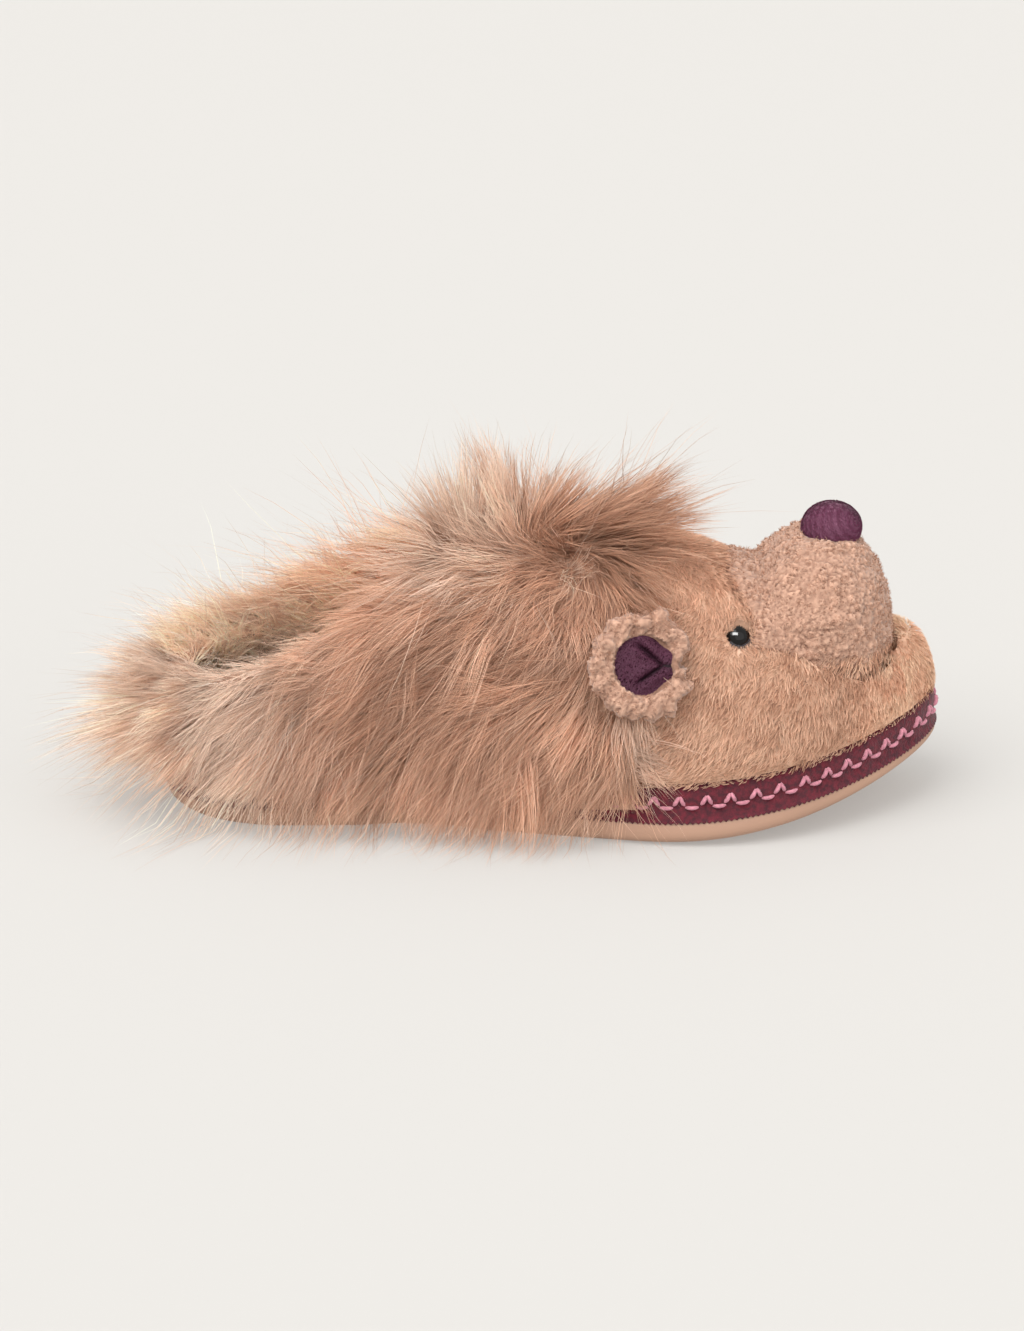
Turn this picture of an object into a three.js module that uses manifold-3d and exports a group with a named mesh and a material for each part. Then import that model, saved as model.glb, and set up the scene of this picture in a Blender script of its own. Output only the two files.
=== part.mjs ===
// Lion slipper, right foot: a closed-heel slipper with a flat moulded sole, an embroidered felt band,
// a plush upper shaped as a lion's face, a deep fur mane over its back half, a stuffed muzzle, a velvet
// nose, two bead eyes and two folded ears. Millimetres, +X to the toe, +Y to the inner side of the
// foot, +Z up. The origin is on the floor under the centre of the heel.
import * as THREE from "three";
import { mergeVertices } from "three/addons/utils/BufferGeometryUtils.js";
import Module from "manifold-3d";

const wasm = await Module();
wasm.setup();

// Driving dimensions
const SOLE_LENGTH = 260;
const BALL_WIDTH = 98;
const HEEL_BACK = 34; // from the origin to the back of the sole
const OUTSOLE_THICK = 8.5;
const TOE_SPRING = 21;
const SPRING_START = 0.6; // share of the length where the sole leaves the floor
const ARCH_LIFT = 1.2;
const ARCH_SPAN = { from: 0.24, high: 0.32, falls: 0.36, to: 0.438 };
const BAND_HEIGHT = 12.5;
const BAND_THICK = 2.6;
const BAND_INSET = 0.7; // how far the band's face lies behind the sole's edge
const INSOLE_THICK = 8;
const UPPER_WALL = 5; // plush, backing and lining together
const UPPER_INSET = 1; // how far the foot of the upper lies behind the sole's edge
const INSTEP_HEIGHT = 95;
const COLLAR_HEIGHT = 46; // at the back of the heel
const TOE_PAD = 8; // stuffing above the toes
const MUZZLE_DEPTH = 6; // how deep the muzzle is let into the face
const MOUTH_GAP = 3;
const MUZZLE_HALF_WIDTH = 33;
const MUZZLE_TOP = 93;
const NOSE_RADIUS = 9.9;
const NOSE_LIFT = 1.6; // the nose's centre above the muzzle's top
const EYE_RADIUS = 4.2;
const EYE_DOME = 3.4;
const EYE_SUNK = 1.4;
const SHANK_RADIUS = 1.5;
const SHANK_DEPTH = 5.2;
const EAR_RADIUS = 17.4;
const EAR_THICK = 9;
const EAR_FOLD = 1.6; // how far the ear's front edge rises at its fold
const EAR_LIFT = 5.2; // the ear's middle above the face, so that its front edge is sewn down
const PAD_THICK = 3;
const FUR_DEPTH = 9; // packed fur under the locks
const FUR_OVER_COLLAR = 9;
const LOCK_LENGTH = 37;
const LOCK_WIDTH = 17;
const LOCK_THICK = 9;
const FUR_AT_FACE = 0.25; // share of the fur's depth left where it meets the face
const HEM_CLEAR = 2; // lowest fur above the floor
const GAP = 0.3;

const RING_POINTS = 50;
const STATIONS = 23;
const ARCH_POINTS = 13;
const LOCK_SIDES = 4;
const SLACK = 5; // how far a cutting shape reaches past what it cuts

// Half widths of the sole as shares of the ball width, outer (lateral) and inner (medial) side
const OUTLINE = [
  { at: 0.0, lateral: 0.345, medial: 0.345 },
  { at: 0.13, lateral: 0.35, medial: 0.35 },
  { at: 0.28, lateral: 0.35, medial: 0.325 },
  { at: 0.42, lateral: 0.395, medial: 0.315 },
  { at: 0.56, lateral: 0.465, medial: 0.385 },
  { at: 0.68, lateral: 0.51, medial: 0.465 },
  { at: 0.8, lateral: 0.475, medial: 0.49 },
  { at: 0.9, lateral: 0.4, medial: 0.48 },
  { at: 1.0, lateral: 0.3, medial: 0.46 },
];
const HEEL_CAP = { length: 0.16, power: 2.0 };
const TOE_CAP = { length: 0.3, power: 2.1 };

// Thickness of the outsole as a share of its full thickness
const SOLE_SIDE = [
  { at: 0.0, thick: 0.8 },
  { at: 0.15, thick: 0.92 },
  { at: 0.35, thick: 1.0 },
  { at: 0.7, thick: 1.0 },
  { at: 0.86, thick: 0.8 },
  { at: 1.0, thick: 0.5 },
];

// Height of the upper's crown above the floor as a share of the instep height
const CROWN = [
  { at: 0.0, height: 0.85 },
  { at: 0.13, height: 0.9 },
  { at: 0.25, height: 0.935 },
  { at: 0.385, height: 0.965 },
  { at: 0.515, height: 1.0 },
  { at: 0.608, height: 0.988 },
  { at: 0.688, height: 0.932 },
  { at: 0.727, height: 0.885 },
  { at: 0.808, height: 0.79 },
  { at: 0.869, height: 0.69 },
  { at: 0.931, height: 0.62 },
  { at: 1.0, height: 0.585 },
];
const CROWN_HEEL_CAP = { length: 0.12, power: 3.0 };
const CROWN_TOE_CAP = { length: 0.05, power: 2.6 };
// Superellipse of the upper's cross-section, squarer round the toe
const ARCH = [
  { at: 0.0, power: 2.3 },
  { at: 0.7, power: 2.3 },
  { at: 0.86, power: 2.9 },
  { at: 1.0, power: 3.6 },
];
const BULGE = 0.035;

// The collar's edge in side view: shares of the sole length, and of the rise from heel to instep
const COLLAR = [
  { at: 0.0, rise: 0.0 },
  { at: 0.06, rise: 0.03 },
  { at: 0.13, rise: 0.12 },
  { at: 0.19, rise: 0.24 },
  { at: 0.255, rise: 0.41 },
  { at: 0.315, rise: 0.62 },
  { at: 0.352, rise: 0.86 },
  { at: 0.365, rise: 1.2 },
];

// How square the muzzle is in plan, at its front and at its back: 1 is an ellipse, less is squarer
const MUZZLE_FRONT = 0.92;
const MUZZLE_BACK = 0.64;
// The muzzle's rings: height, back and front of each ring along the foot, and half width
const MUZZLE = [
  { height: 0.4, back: 0.78, front: 0.922, width: 0.68 },
  { height: 0.53, back: 0.75, front: 0.93, width: 0.86 },
  { height: 0.65, back: 0.733, front: 0.932, width: 0.98 },
  { height: 0.77, back: 0.727, front: 0.928, width: 0.95 },
  { height: 0.87, back: 0.742, front: 0.915, width: 0.78 },
  { height: 0.94, back: 0.768, front: 0.9, width: 0.6 },
  { height: 0.985, back: 0.79, front: 0.884, width: 0.42 },
  { height: 1.0, back: 0.81, front: 0.868, width: 0.24 },
];

// Locks of the mane. Roots lie on the fur's surface from one share of the length to another, at an
// angle round the section from the hem (0) to the crown (90). Each lock's length is a share of the
// longest. It lies along the surface, back and down, and leans out of it by a share of its length.
const LOCK_ROWS = [
  { from: 0.04, to: 0.58, angle: 10, count: 7, long: 0.7, out: 0.24, back: 0.25, down: 1, fall: 0 },
  { from: 0.02, to: 0.6, angle: 28, count: 6, long: 1.0, out: 0.32, back: 0.45, down: 1, fall: 0.05 },
  { from: 0.08, to: 0.6, angle: 46, count: 5, long: 1.03, out: 0.36, back: 0.8, down: 0.8, fall: 0.1 },
  { from: 0.4, to: 0.58, angle: 66, count: 2, long: 0.9, out: 0.6, back: 0.8, down: 0.4, fall: 0.1 },
];
// Locks that stand on the collar's edge on both sides, and those fanned round the back of the heel
const RIM_LOCKS = { from: 0.05, to: 0.31, count: 4, long: 0.65, out: 0.7, back: 0.8, down: -0.6, fall: 0 };
const HEEL_LOCKS = [
  { height: 0.12, count: 3, spread: 58, long: 0.85, down: 0.62 },
  { height: 0.45, count: 4, spread: 64, long: 1.0, down: 0.25 },
  { height: 0.8, count: 3, spread: 54, long: 0.95, down: -0.1 },
];
// Locks along the middle of the crown: a tuft that stands up behind, a forelock that leans forward
const CROWN_LOCKS = [
  { at: 0.375, side: 0, long: 0.81, forward: -0.5, up: 0.8 },
  { at: 0.42, side: -0.08, long: 0.86, forward: -0.15, up: 1.0 },
  { at: 0.43, side: 0.08, long: 0.84, forward: -0.1, up: 1.0 },
  { at: 0.52, side: -0.14, long: 0.81, forward: 0.8, up: 0.45 },
  { at: 0.53, side: 0.13, long: 0.81, forward: 0.8, up: 0.42 },
  { at: 0.56, side: -0.04, long: 0.86, forward: 1.0, up: 0.32 },
  { at: 0.57, side: 0.06, long: 0.81, forward: 1.0, up: 0.3 },
];
const FACE_LINE = 0.612; // where the mane meets the plush face

const EYE = { at: 0.733, angle: 50 };
const EAR = { at: 0.613, angle: 35, tilt: 14 };

const radians = THREE.MathUtils.degToRad;
const vec = (x, y, z) => new THREE.Vector3(x, y, z);

// Smooth value of one column of a table at a share s of the length
function column(table, key, s) {
  const last = table.length - 1;
  if (s <= table[0].at) return table[0][key];
  if (s >= table[last].at) return table[last][key];
  let i = 0;
  while (s > table[i + 1].at) i++;
  const slope = (j) => {
    const a = table[Math.max(j - 1, 0)];
    const b = table[Math.min(j + 1, last)];
    return (b[key] - a[key]) / (b.at - a.at);
  };
  const p = table[i];
  const q = table[i + 1];
  const h = q.at - p.at;
  const t = (s - p.at) / h;
  const u = 1 - t;
  return (
    p[key] * (1 + 2 * t) * u * u +
    q[key] * (3 - 2 * t) * t * t +
    h * t * u * (slope(i) * u - slope(i + 1) * t)
  );
}

// Rounded end of a table's curve: 0 at the very end, 1 from cap.length on
function rounded(distance, cap) {
  const t = 1 - Math.min(Math.max(distance / cap.length, 0), 1);
  return Math.pow(1 - Math.pow(t, cap.power), 1 / cap.power);
}

const smooth = (a, b, s) => THREE.MathUtils.smoothstep(s, a, b);
const shareAt = (x) => (x + HEEL_BACK) / SOLE_LENGTH;
const xAt = (s) => s * SOLE_LENGTH - HEEL_BACK;

function springAt(x) {
  const t = Math.max(0, (shareAt(x) - SPRING_START) / (1 - SPRING_START));
  return TOE_SPRING * t * t;
}

// The underside: the toe spring, a low arch at the waist and a rounded back edge
function undersideAt(x) {
  const s = shareAt(x);
  const rise = smooth(ARCH_SPAN.from, ARCH_SPAN.high, s);
  const arch = rise * (1 - smooth(ARCH_SPAN.falls, ARCH_SPAN.to, s));
  const back = Math.max(0, (0.07 - s) / 0.07);
  return springAt(x) + ARCH_LIFT * arch + 1.8 * back * back;
}

const soleTopAt = (x) => springAt(x) + OUTSOLE_THICK * column(SOLE_SIDE, "thick", shareAt(x));
const bandTopAt = (x) => soleTopAt(x) + GAP + BAND_HEIGHT;

// A point of the sole's outline in plan. turn runs from the back of the heel round the outer side.
function outlineAt(turn) {
  const s = (1 - Math.cos(turn)) / 2;
  const lateral = column(OUTLINE, "lateral", s);
  const medial = column(OUTLINE, "medial", s);
  const end = rounded(s, HEEL_CAP) * rounded(1 - s, TOE_CAP);
  const side = Math.sin(turn) < 0 ? 1 : -1;
  const middle = ((medial - lateral) / 2) * BALL_WIDTH;
  return vec(xAt(s), middle + side * ((medial + lateral) / 2) * BALL_WIDTH * end, 0);
}

// The outline moved inwards by inset (outwards if negative), one point for each step of the ring
function plan(inset, count = RING_POINTS) {
  const step = 0.02;
  return Array.from({ length: count }, (_, i) => {
    const turn = (2 * Math.PI * i) / count;
    const p = outlineAt(turn);
    const tangent = outlineAt(turn + step).sub(outlineAt(turn - step)).normalize();
    return p.add(vec(-tangent.y, tangent.x, 0).multiplyScalar(inset));
  });
}

const atHeights = (ring, heightAt) => ring.map((p) => vec(p.x, p.y, heightAt(p.x)));

function geometryOf(points, triangles) {
  const g = new THREE.BufferGeometry();
  g.setAttribute("position", new THREE.Float32BufferAttribute(points.flatMap((p) => p.toArray()), 3));
  g.setIndex(triangles.flat());
  return g;
}

// A closed body through rings of equal count. Caps go straight across ("ruled") or fan out from a
// ring's first point. loop joins the last ring to the first instead.
function loft(rings, caps) {
  const n = rings[0].length;
  const count = rings.length;
  const id = (j, i) => (j % count) * n + (i % n);
  const triangles = [];
  for (let j = 0; j < (caps === "loop" ? count : count - 1); j++)
    for (let i = 0; i < n; i++) {
      triangles.push([id(j, i), id(j, i + 1), id(j + 1, i + 1)]);
      triangles.push([id(j, i), id(j + 1, i + 1), id(j + 1, i)]);
    }
  const cap = (j, up) => {
    const add = (a, b, c) => triangles.push(up ? [a, b, c] : [c, b, a]);
    if (caps === "fan") for (let i = 1; i < n - 1; i++) add(id(j, 0), id(j, i), id(j, i + 1));
    else
      for (let i = 0; i < n / 2; i++) {
        const [a, b, c, d] = [id(j, i), id(j, i + 1), id(j, n - i - 1), id(j, n - i)];
        if (i < n / 2 - 1) add(a, b, c);
        if (i > 0) add(a, c, d);
      }
  };
  if (caps !== "loop") {
    cap(0, false);
    cap(count - 1, true);
  }
  return geometryOf(rings.flat(), triangles);
}

function solid(geometry) {
  const g = geometry.clone();
  g.deleteAttribute("normal");
  g.deleteAttribute("uv");
  const merged = mergeVertices(g, 1e-4);
  return new wasm.Manifold(
    new wasm.Mesh({
      numProp: 3,
      vertProperties: merged.attributes.position.array,
      triVerts: new Uint32Array(merged.index.array),
    }),
  );
}

// The largest body of a solid, without its sealed hollows and loose crumbs
function mainBody(made) {
  return made.decompose().sort((a, b) => b.volume() - a.volume())[0];
}

function meshOf(name, made, material) {
  const m = made.getMesh();
  const g = new THREE.BufferGeometry();
  g.setAttribute("position", new THREE.Float32BufferAttribute(m.vertProperties, 3));
  g.setIndex(new THREE.Uint32BufferAttribute(m.triVerts, 1));
  g.computeVertexNormals();
  const mesh = new THREE.Mesh(g, material);
  mesh.name = name;
  return mesh;
}

// The last, moved in by skin: its sides, its crown and its ends each by their own amount
const SURFACE = { side: () => 0, top: () => 0, end: 0, base: (x) => soleTopAt(x) + GAP };
const skin = (depth) => ({ ...SURFACE, side: () => depth, top: () => depth, end: depth });

// A point of the last at share s, angle 0 at the outer foot, 90 at the crown, 180 at the inner foot
function lastPoint(s, angle, at = SURFACE) {
  const inset = UPPER_INSET + at.end;
  const x = xAt(0) + inset + s * (SOLE_LENGTH - 2 * inset);
  const lateral = column(OUTLINE, "lateral", s);
  const medial = column(OUTLINE, "medial", s);
  const end = rounded(s, HEEL_CAP) * rounded(1 - s, TOE_CAP);
  const half = (((medial + lateral) / 2) * BALL_WIDTH - UPPER_INSET - at.side(s)) * end;
  const middle = ((medial - lateral) / 2) * BALL_WIDTH;
  const base = at.base(x);
  const crownEnd = rounded(s, CROWN_HEEL_CAP) * rounded(1 - s, CROWN_TOE_CAP);
  const rise = (INSTEP_HEIGHT * column(CROWN, "height", s) - at.top(s) - base) * crownEnd;
  const c = Math.cos(radians(angle));
  const arch = 2 / column(ARCH, "power", s);
  const up = Math.pow(Math.abs(Math.sin(radians(angle))), arch);
  const across = Math.sign(c) * Math.pow(Math.abs(c), arch);
  return vec(x, middle - half * across * (1 + 4 * BULGE * up * (1 - up)), base + rise * up);
}

function lastNormal(s, angle, at = SURFACE) {
  const along = lastPoint(s + 0.005, angle, at).sub(lastPoint(s - 0.005, angle, at));
  const over = lastPoint(s, angle + 1, at).sub(lastPoint(s, angle - 1, at));
  return along.cross(over).normalize();
}

function lastSolid(at) {
  const rings = Array.from({ length: STATIONS + 1 }, (_, j) => {
    const s = (1 - Math.cos((Math.PI * j) / STATIONS)) / 2;
    const clear = Math.min(Math.max(s, 0.0008), 0.9992);
    return Array.from({ length: ARCH_POINTS }, (_, i) =>
      lastPoint(clear, 180 - (180 * i) / (ARCH_POINTS - 1), at),
    );
  });
  return solid(loft(rings, "fan"));
}

// Everything above the collar's edge, from the heel to the throat, raised and moved back
function aboveCollar(raised, moved) {
  const rows = 16;
  const shape = new THREE.Shape();
  const last = COLLAR[COLLAR.length - 1];
  const high = 2 * INSTEP_HEIGHT;
  const heel = xAt(0) - 4 * FUR_DEPTH;
  shape.moveTo(heel, high);
  shape.lineTo(heel, COLLAR_HEIGHT + raised);
  for (let i = 0; i <= rows; i++) {
    const s = (last.at * i) / rows;
    const z = COLLAR_HEIGHT + (INSTEP_HEIGHT - COLLAR_HEIGHT) * column(COLLAR, "rise", s);
    shape.lineTo(xAt(s) - moved * (i / rows), z + raised);
  }
  shape.lineTo(xAt(last.at) - moved, high);
  const width = 3 * BALL_WIDTH;
  const g = new THREE.ExtrudeGeometry(shape, { depth: width, bevelEnabled: false });
  return solid(g.rotateX(Math.PI / 2).translate(0, width / 2, 0));
}

// Outsole. Its edge from the tread up: insets as shares of the sole's full thickness
const SOLE_EDGE = [
  { inset: 0.6, height: 0 },
  { inset: 0.19, height: 0.11 },
  { inset: 0.02, height: 0.36 },
  { inset: 0, height: 0.65 },
  { inset: 0.06, height: 1 },
];
function makeOutsole() {
  const rings = SOLE_EDGE.map((row) =>
    atHeights(plan(row.inset * OUTSOLE_THICK), (x) => {
      const low = undersideAt(x);
      return low + row.height * (soleTopAt(x) - low);
    }),
  );
  return solid(loft(rings, "ruled"));
}

// Insole: a soft bed with a slightly raised edge
const INSOLE_INSET = BAND_INSET + BAND_THICK + GAP + UPPER_WALL * 0.7 + GAP;
const INSOLE_ROUND = 1.5;
const INSOLE_RIM = 9; // width of the raised edge
function insoleSolid(grow, low) {
  const top = (x) => soleTopAt(x) + GAP + INSOLE_THICK;
  const rings = [
    atHeights(plan(INSOLE_INSET - grow), (x) => soleTopAt(x) + GAP - low),
    atHeights(plan(INSOLE_INSET - grow), (x) => top(x) - INSOLE_ROUND + grow),
    atHeights(plan(INSOLE_INSET + INSOLE_ROUND - grow), (x) => top(x) + grow),
    atHeights(plan(INSOLE_INSET + INSOLE_RIM), (x) => top(x) - INSOLE_ROUND),
  ];
  return solid(loft(rings, "ruled"));
}

// Felt band round the foot of the upper: its face from below, insets as shares of its thickness
const BAND_SECTION = [
  { inset: 0.2, height: 0 },
  { inset: 0, height: 0.14 },
  { inset: 0, height: 0.66 },
  { inset: 0.35, height: 1 },
];
function bandSolid() {
  const lowAt = (x) => soleTopAt(x) + GAP;
  const outer = BAND_SECTION.map((row) =>
    atHeights(plan(BAND_INSET + row.inset * BAND_THICK), (x) => lowAt(x) + row.height * BAND_HEIGHT),
  );
  const inner = [1, 0].map((height) =>
    atHeights(plan(BAND_INSET + BAND_THICK), (x) => lowAt(x) + height * BAND_HEIGHT),
  );
  return solid(loft([...outer, ...inner], "loop"));
}

// The room the band takes from the upper, open to the outside
function bandRoom() {
  const far = -4 * FUR_DEPTH;
  const face = BAND_INSET + BAND_THICK + GAP;
  const low = (x) => soleTopAt(x) - SLACK;
  const high = (x) => bandTopAt(x) + GAP;
  const rings = [
    atHeights(plan(far), low),
    atHeights(plan(far), high),
    atHeights(plan(face), high),
    atHeights(plan(face), low),
  ];
  return solid(loft(rings, "loop"));
}

// Muzzle: grow makes room round it, and mouth more room in front of it
function muzzleSolid(grow, mouth) {
  const points = 24;
  const rings = MUZZLE.map((row) => {
    const middle = xAt((row.back + row.front) / 2);
    const half = ((row.front - row.back) / 2) * SOLE_LENGTH;
    const z = MUZZLE_TOP * row.height + grow * (3 * row.height - 2);
    return Array.from({ length: points }, (_, i) => {
      const turn = (2 * Math.PI * i) / points;
      const [c, s] = [Math.cos(turn), Math.sin(turn)];
      const square = c > 0 ? MUZZLE_FRONT : MUZZLE_BACK;
      const along = Math.sign(c) * Math.pow(Math.abs(c), square);
      const across = Math.sign(s) * Math.pow(Math.abs(s), square);
      const reach = half + grow + (along > 0 ? mouth : 0);
      return vec(middle + reach * along, (MUZZLE_HALF_WIDTH * row.width + grow) * across, z);
    });
  });
  return solid(loft(rings, "fan"));
}

const NOSE_CENTRE = vec(xAt(0.855), 0, MUZZLE_TOP + NOSE_LIFT);
function noseSolid(grow) {
  const g = new THREE.SphereGeometry(NOSE_RADIUS + grow, 16, 10);
  return solid(g.scale(1, 1, 0.84).translate(...NOSE_CENTRE.toArray()));
}

// Turns a shape made about the origin, +Z outwards and +X forwards, to a place on the last
function seated(geometry, place, normal, tilt) {
  const forward = vec(1, 0, 0).addScaledVector(normal, -normal.x).normalize();
  const sideways = normal.clone().cross(forward);
  const turn = new THREE.Matrix4().makeBasis(forward, sideways, normal);
  const lean = new THREE.Matrix4().makeRotationY(radians(tilt));
  return geometry.applyMatrix4(lean).applyMatrix4(turn).translate(...place.toArray());
}

// Bead eye: a low dome on a short shank let into the face
function eyeSolid(inner, grow) {
  const shank = SHANK_RADIUS + grow;
  const foot = -SHANK_DEPTH - grow;
  const profile = [[0, foot], [shank, foot], [shank, -EYE_SUNK - grow]];
  const steps = 4;
  for (let i = 0; i <= steps; i++) {
    const a = (Math.PI / 2) * (i / steps);
    const r = i === steps ? 0 : (EYE_RADIUS + grow) * Math.cos(a);
    profile.push([r, -EYE_SUNK + (i === 0 ? -grow : 0) + (EYE_DOME + grow) * Math.sin(a)]);
  }
  const g = new THREE.LatheGeometry(profile.map(([r, z]) => new THREE.Vector2(r, z)), 12);
  g.rotateX(Math.PI / 2);
  const angle = inner ? 180 - EYE.angle : EYE.angle;
  return solid(seated(g, lastPoint(EYE.at, angle), lastNormal(EYE.at, angle), 0));
}

// The ear's rings from its back to its dished front: share of the radius, share of the thickness
const EAR_RINGS = [
  { radius: 0.08, height: -0.42 },
  { radius: 0.62, height: -0.46 },
  { radius: 0.9, height: -0.3 },
  { radius: 1.0, height: 0.04 },
  { radius: 0.93, height: 0.36 },
  { radius: 0.78, height: 0.48 },
  { radius: 0.6, height: 0.3 },
  { radius: 0.3, height: 0.02 },
  { radius: 0.08, height: -0.02 },
];
const EAR_RIM = 3; // the ring at the ear's widest
function earSolid(inner, grow) {
  const points = 16;
  const rings = EAR_RINGS.map((row, k) =>
    Array.from({ length: points }, (_, i) => {
      const turn = (2 * Math.PI * i) / points;
      const fold = Math.exp(-Math.pow(Math.atan2(Math.sin(turn), Math.cos(turn)) / 0.3, 2));
      const r = (EAR_RADIUS + grow) * row.radius * (1 - 0.34 * fold * row.radius);
      const facing = THREE.MathUtils.clamp((k - EAR_RIM) / 2, -1, 1);
      const lift = row.height * EAR_THICK + 1.4 * grow * facing + EAR_FOLD * fold * row.radius;
      return vec(r * Math.cos(turn), r * Math.sin(turn), lift);
    }),
  );
  const angle = inner ? 180 - EAR.angle : EAR.angle;
  const normal = lastNormal(EAR.at, angle);
  const place = lastPoint(EAR.at, angle).addScaledVector(normal, EAR_LIFT);
  return solid(seated(loft(rings, "fan"), place, normal, EAR.tilt));
}

// Velvet lining of the ear: a leaf with its tip at the fold and two pleats that run to the tip
function padSolid(inner) {
  const points = 14;
  const rows = [0.15, 0.6, 0.9, 1];
  const reach = EAR_RADIUS * 0.62;
  const tip = EAR_RADIUS * 0.28;
  const leaf = (share, turn, height) => {
    const front = Math.exp(-Math.pow(Math.atan2(Math.sin(turn), Math.cos(turn)) / 0.5, 2));
    const r = share * (reach + tip * front * 0.6);
    return vec(r * Math.cos(turn) - reach * 0.12, r * Math.sin(turn) * (1 - 0.1 * front), height);
  };
  const turns = Array.from({ length: points }, (_, i) => (2 * Math.PI * i) / points);
  const pleat = (turn) => {
    const from = Math.abs(Math.abs(Math.atan2(Math.sin(turn), Math.cos(turn))) - radians(125));
    return Math.exp(-Math.pow(from / 0.24, 2));
  };
  const low = -EAR_THICK * 0.25;
  const back = rows.map((share) => turns.map((turn) => leaf(share, turn, low)));
  const front = rows.toReversed().map((share) =>
    turns.map((turn) => {
      const crown = PAD_THICK * (1 - 0.75 * share * share) + EAR_THICK * (0.02 + 0.26 * share * share);
      return leaf(share, turn, crown - 1.1 * pleat(turn) * Math.sin(Math.PI * Math.min(1, share * 1.1)));
    }),
  );
  const angle = inner ? 180 - EAR.angle : EAR.angle;
  const normal = lastNormal(EAR.at, angle);
  const place = lastPoint(EAR.at, angle).addScaledVector(normal, EAR_LIFT);
  return solid(seated(loft([...back, ...front], "fan"), place, normal, EAR.tilt));
}

// One lock of fur: a bent leaf from its root, flat to the surface's normal, falling a little to its tip
function lockSolid(root, direction, normal, long, fall) {
  const rows = [0, 0.5, 1];
  const reach = LOCK_LENGTH * long;
  const spine = (t) =>
    root.clone().addScaledVector(direction, reach * t).add(vec(0, 0, -fall * reach * t * t));
  const rings = rows.map((t) => {
    const ahead = spine(t + 0.05).sub(spine(t - 0.05)).normalize();
    const a = normal.clone().cross(ahead).normalize();
    const b = ahead.clone().cross(a);
    const taper = (1 - 0.93 * Math.pow(t, 1.5)) / 2;
    return Array.from({ length: LOCK_SIDES }, (_, i) => {
      const turn = (2 * Math.PI * i) / LOCK_SIDES;
      const [c, d] = [LOCK_WIDTH * taper * Math.cos(turn), LOCK_THICK * taper * Math.sin(turn)];
      return spine(t).addScaledVector(a, c).addScaledVector(b, d);
    });
  });
  return solid(loft(rings, "fan"));
}

function maneLocks(surface) {
  const locks = [];
  const sunk = LOCK_THICK * 0.45;
  const rooted = (s, angle, row, k) => {
    const normal = lastNormal(s, angle, surface);
    const root = lastPoint(s, angle, surface).addScaledVector(normal, -sunk);
    const flow = vec(-row.back, 0, -row.down);
    const direction = flow.addScaledVector(normal, -flow.dot(normal)).normalize();
    direction.addScaledVector(normal, row.out).normalize();
    const vary = 1 + 0.16 * Math.sin(2.4 * k);
    locks.push(lockSolid(root, direction, normal, row.long * vary, row.fall));
  };
  for (const row of LOCK_ROWS)
    for (let k = 0; k < row.count; k++) {
      const s = row.from + ((row.to - row.from) * (k + 0.5)) / row.count;
      rooted(s, row.angle + 3 * Math.sin(1.7 * k), row, k);
      rooted(s, 180 - row.angle - 3 * Math.sin(1.7 * k), row, k + 1);
    }
  for (let k = 0; k < RIM_LOCKS.count; k++) {
    const s = RIM_LOCKS.from + ((RIM_LOCKS.to - RIM_LOCKS.from) * (k + 0.5)) / RIM_LOCKS.count;
    const rim = COLLAR_HEIGHT + (INSTEP_HEIGHT - COLLAR_HEIGHT) * column(COLLAR, "rise", s);
    const share = Math.min(1, (rim + FUR_OVER_COLLAR * 0.4) / (INSTEP_HEIGHT * 0.95));
    const angle = THREE.MathUtils.radToDeg(Math.asin(Math.pow(share, column(ARCH, "power", s) / 2)));
    rooted(s, angle, RIM_LOCKS, k);
    rooted(s, 180 - angle, RIM_LOCKS, k + 2);
  }
  for (const row of HEEL_LOCKS)
    for (let k = 0; k < row.count; k++) {
      const turn = radians(row.spread * ((2 * (k + 0.5)) / row.count - 1));
      const out = vec(-Math.cos(turn), Math.sin(turn), 0);
      const root = out.clone().multiplyScalar(HEEL_BACK + FUR_DEPTH - LOCK_WIDTH / 2);
      root.z = OUTSOLE_THICK + row.height * COLLAR_HEIGHT;
      const direction = out.clone().add(vec(0, 0, -row.down)).normalize();
      locks.push(lockSolid(root, direction, vec(0, 0, 1), row.long, 0.12));
    }
  for (const row of CROWN_LOCKS) {
    const root = lastPoint(row.at, 90, surface).add(vec(0, row.side * BALL_WIDTH, -sunk));
    const direction = vec(row.forward, row.side, row.up).normalize();
    const across = vec(-row.up, 0, row.forward).normalize();
    locks.push(lockSolid(root, direction, across, row.long, 0.1));
  }
  return locks;
}

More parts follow.
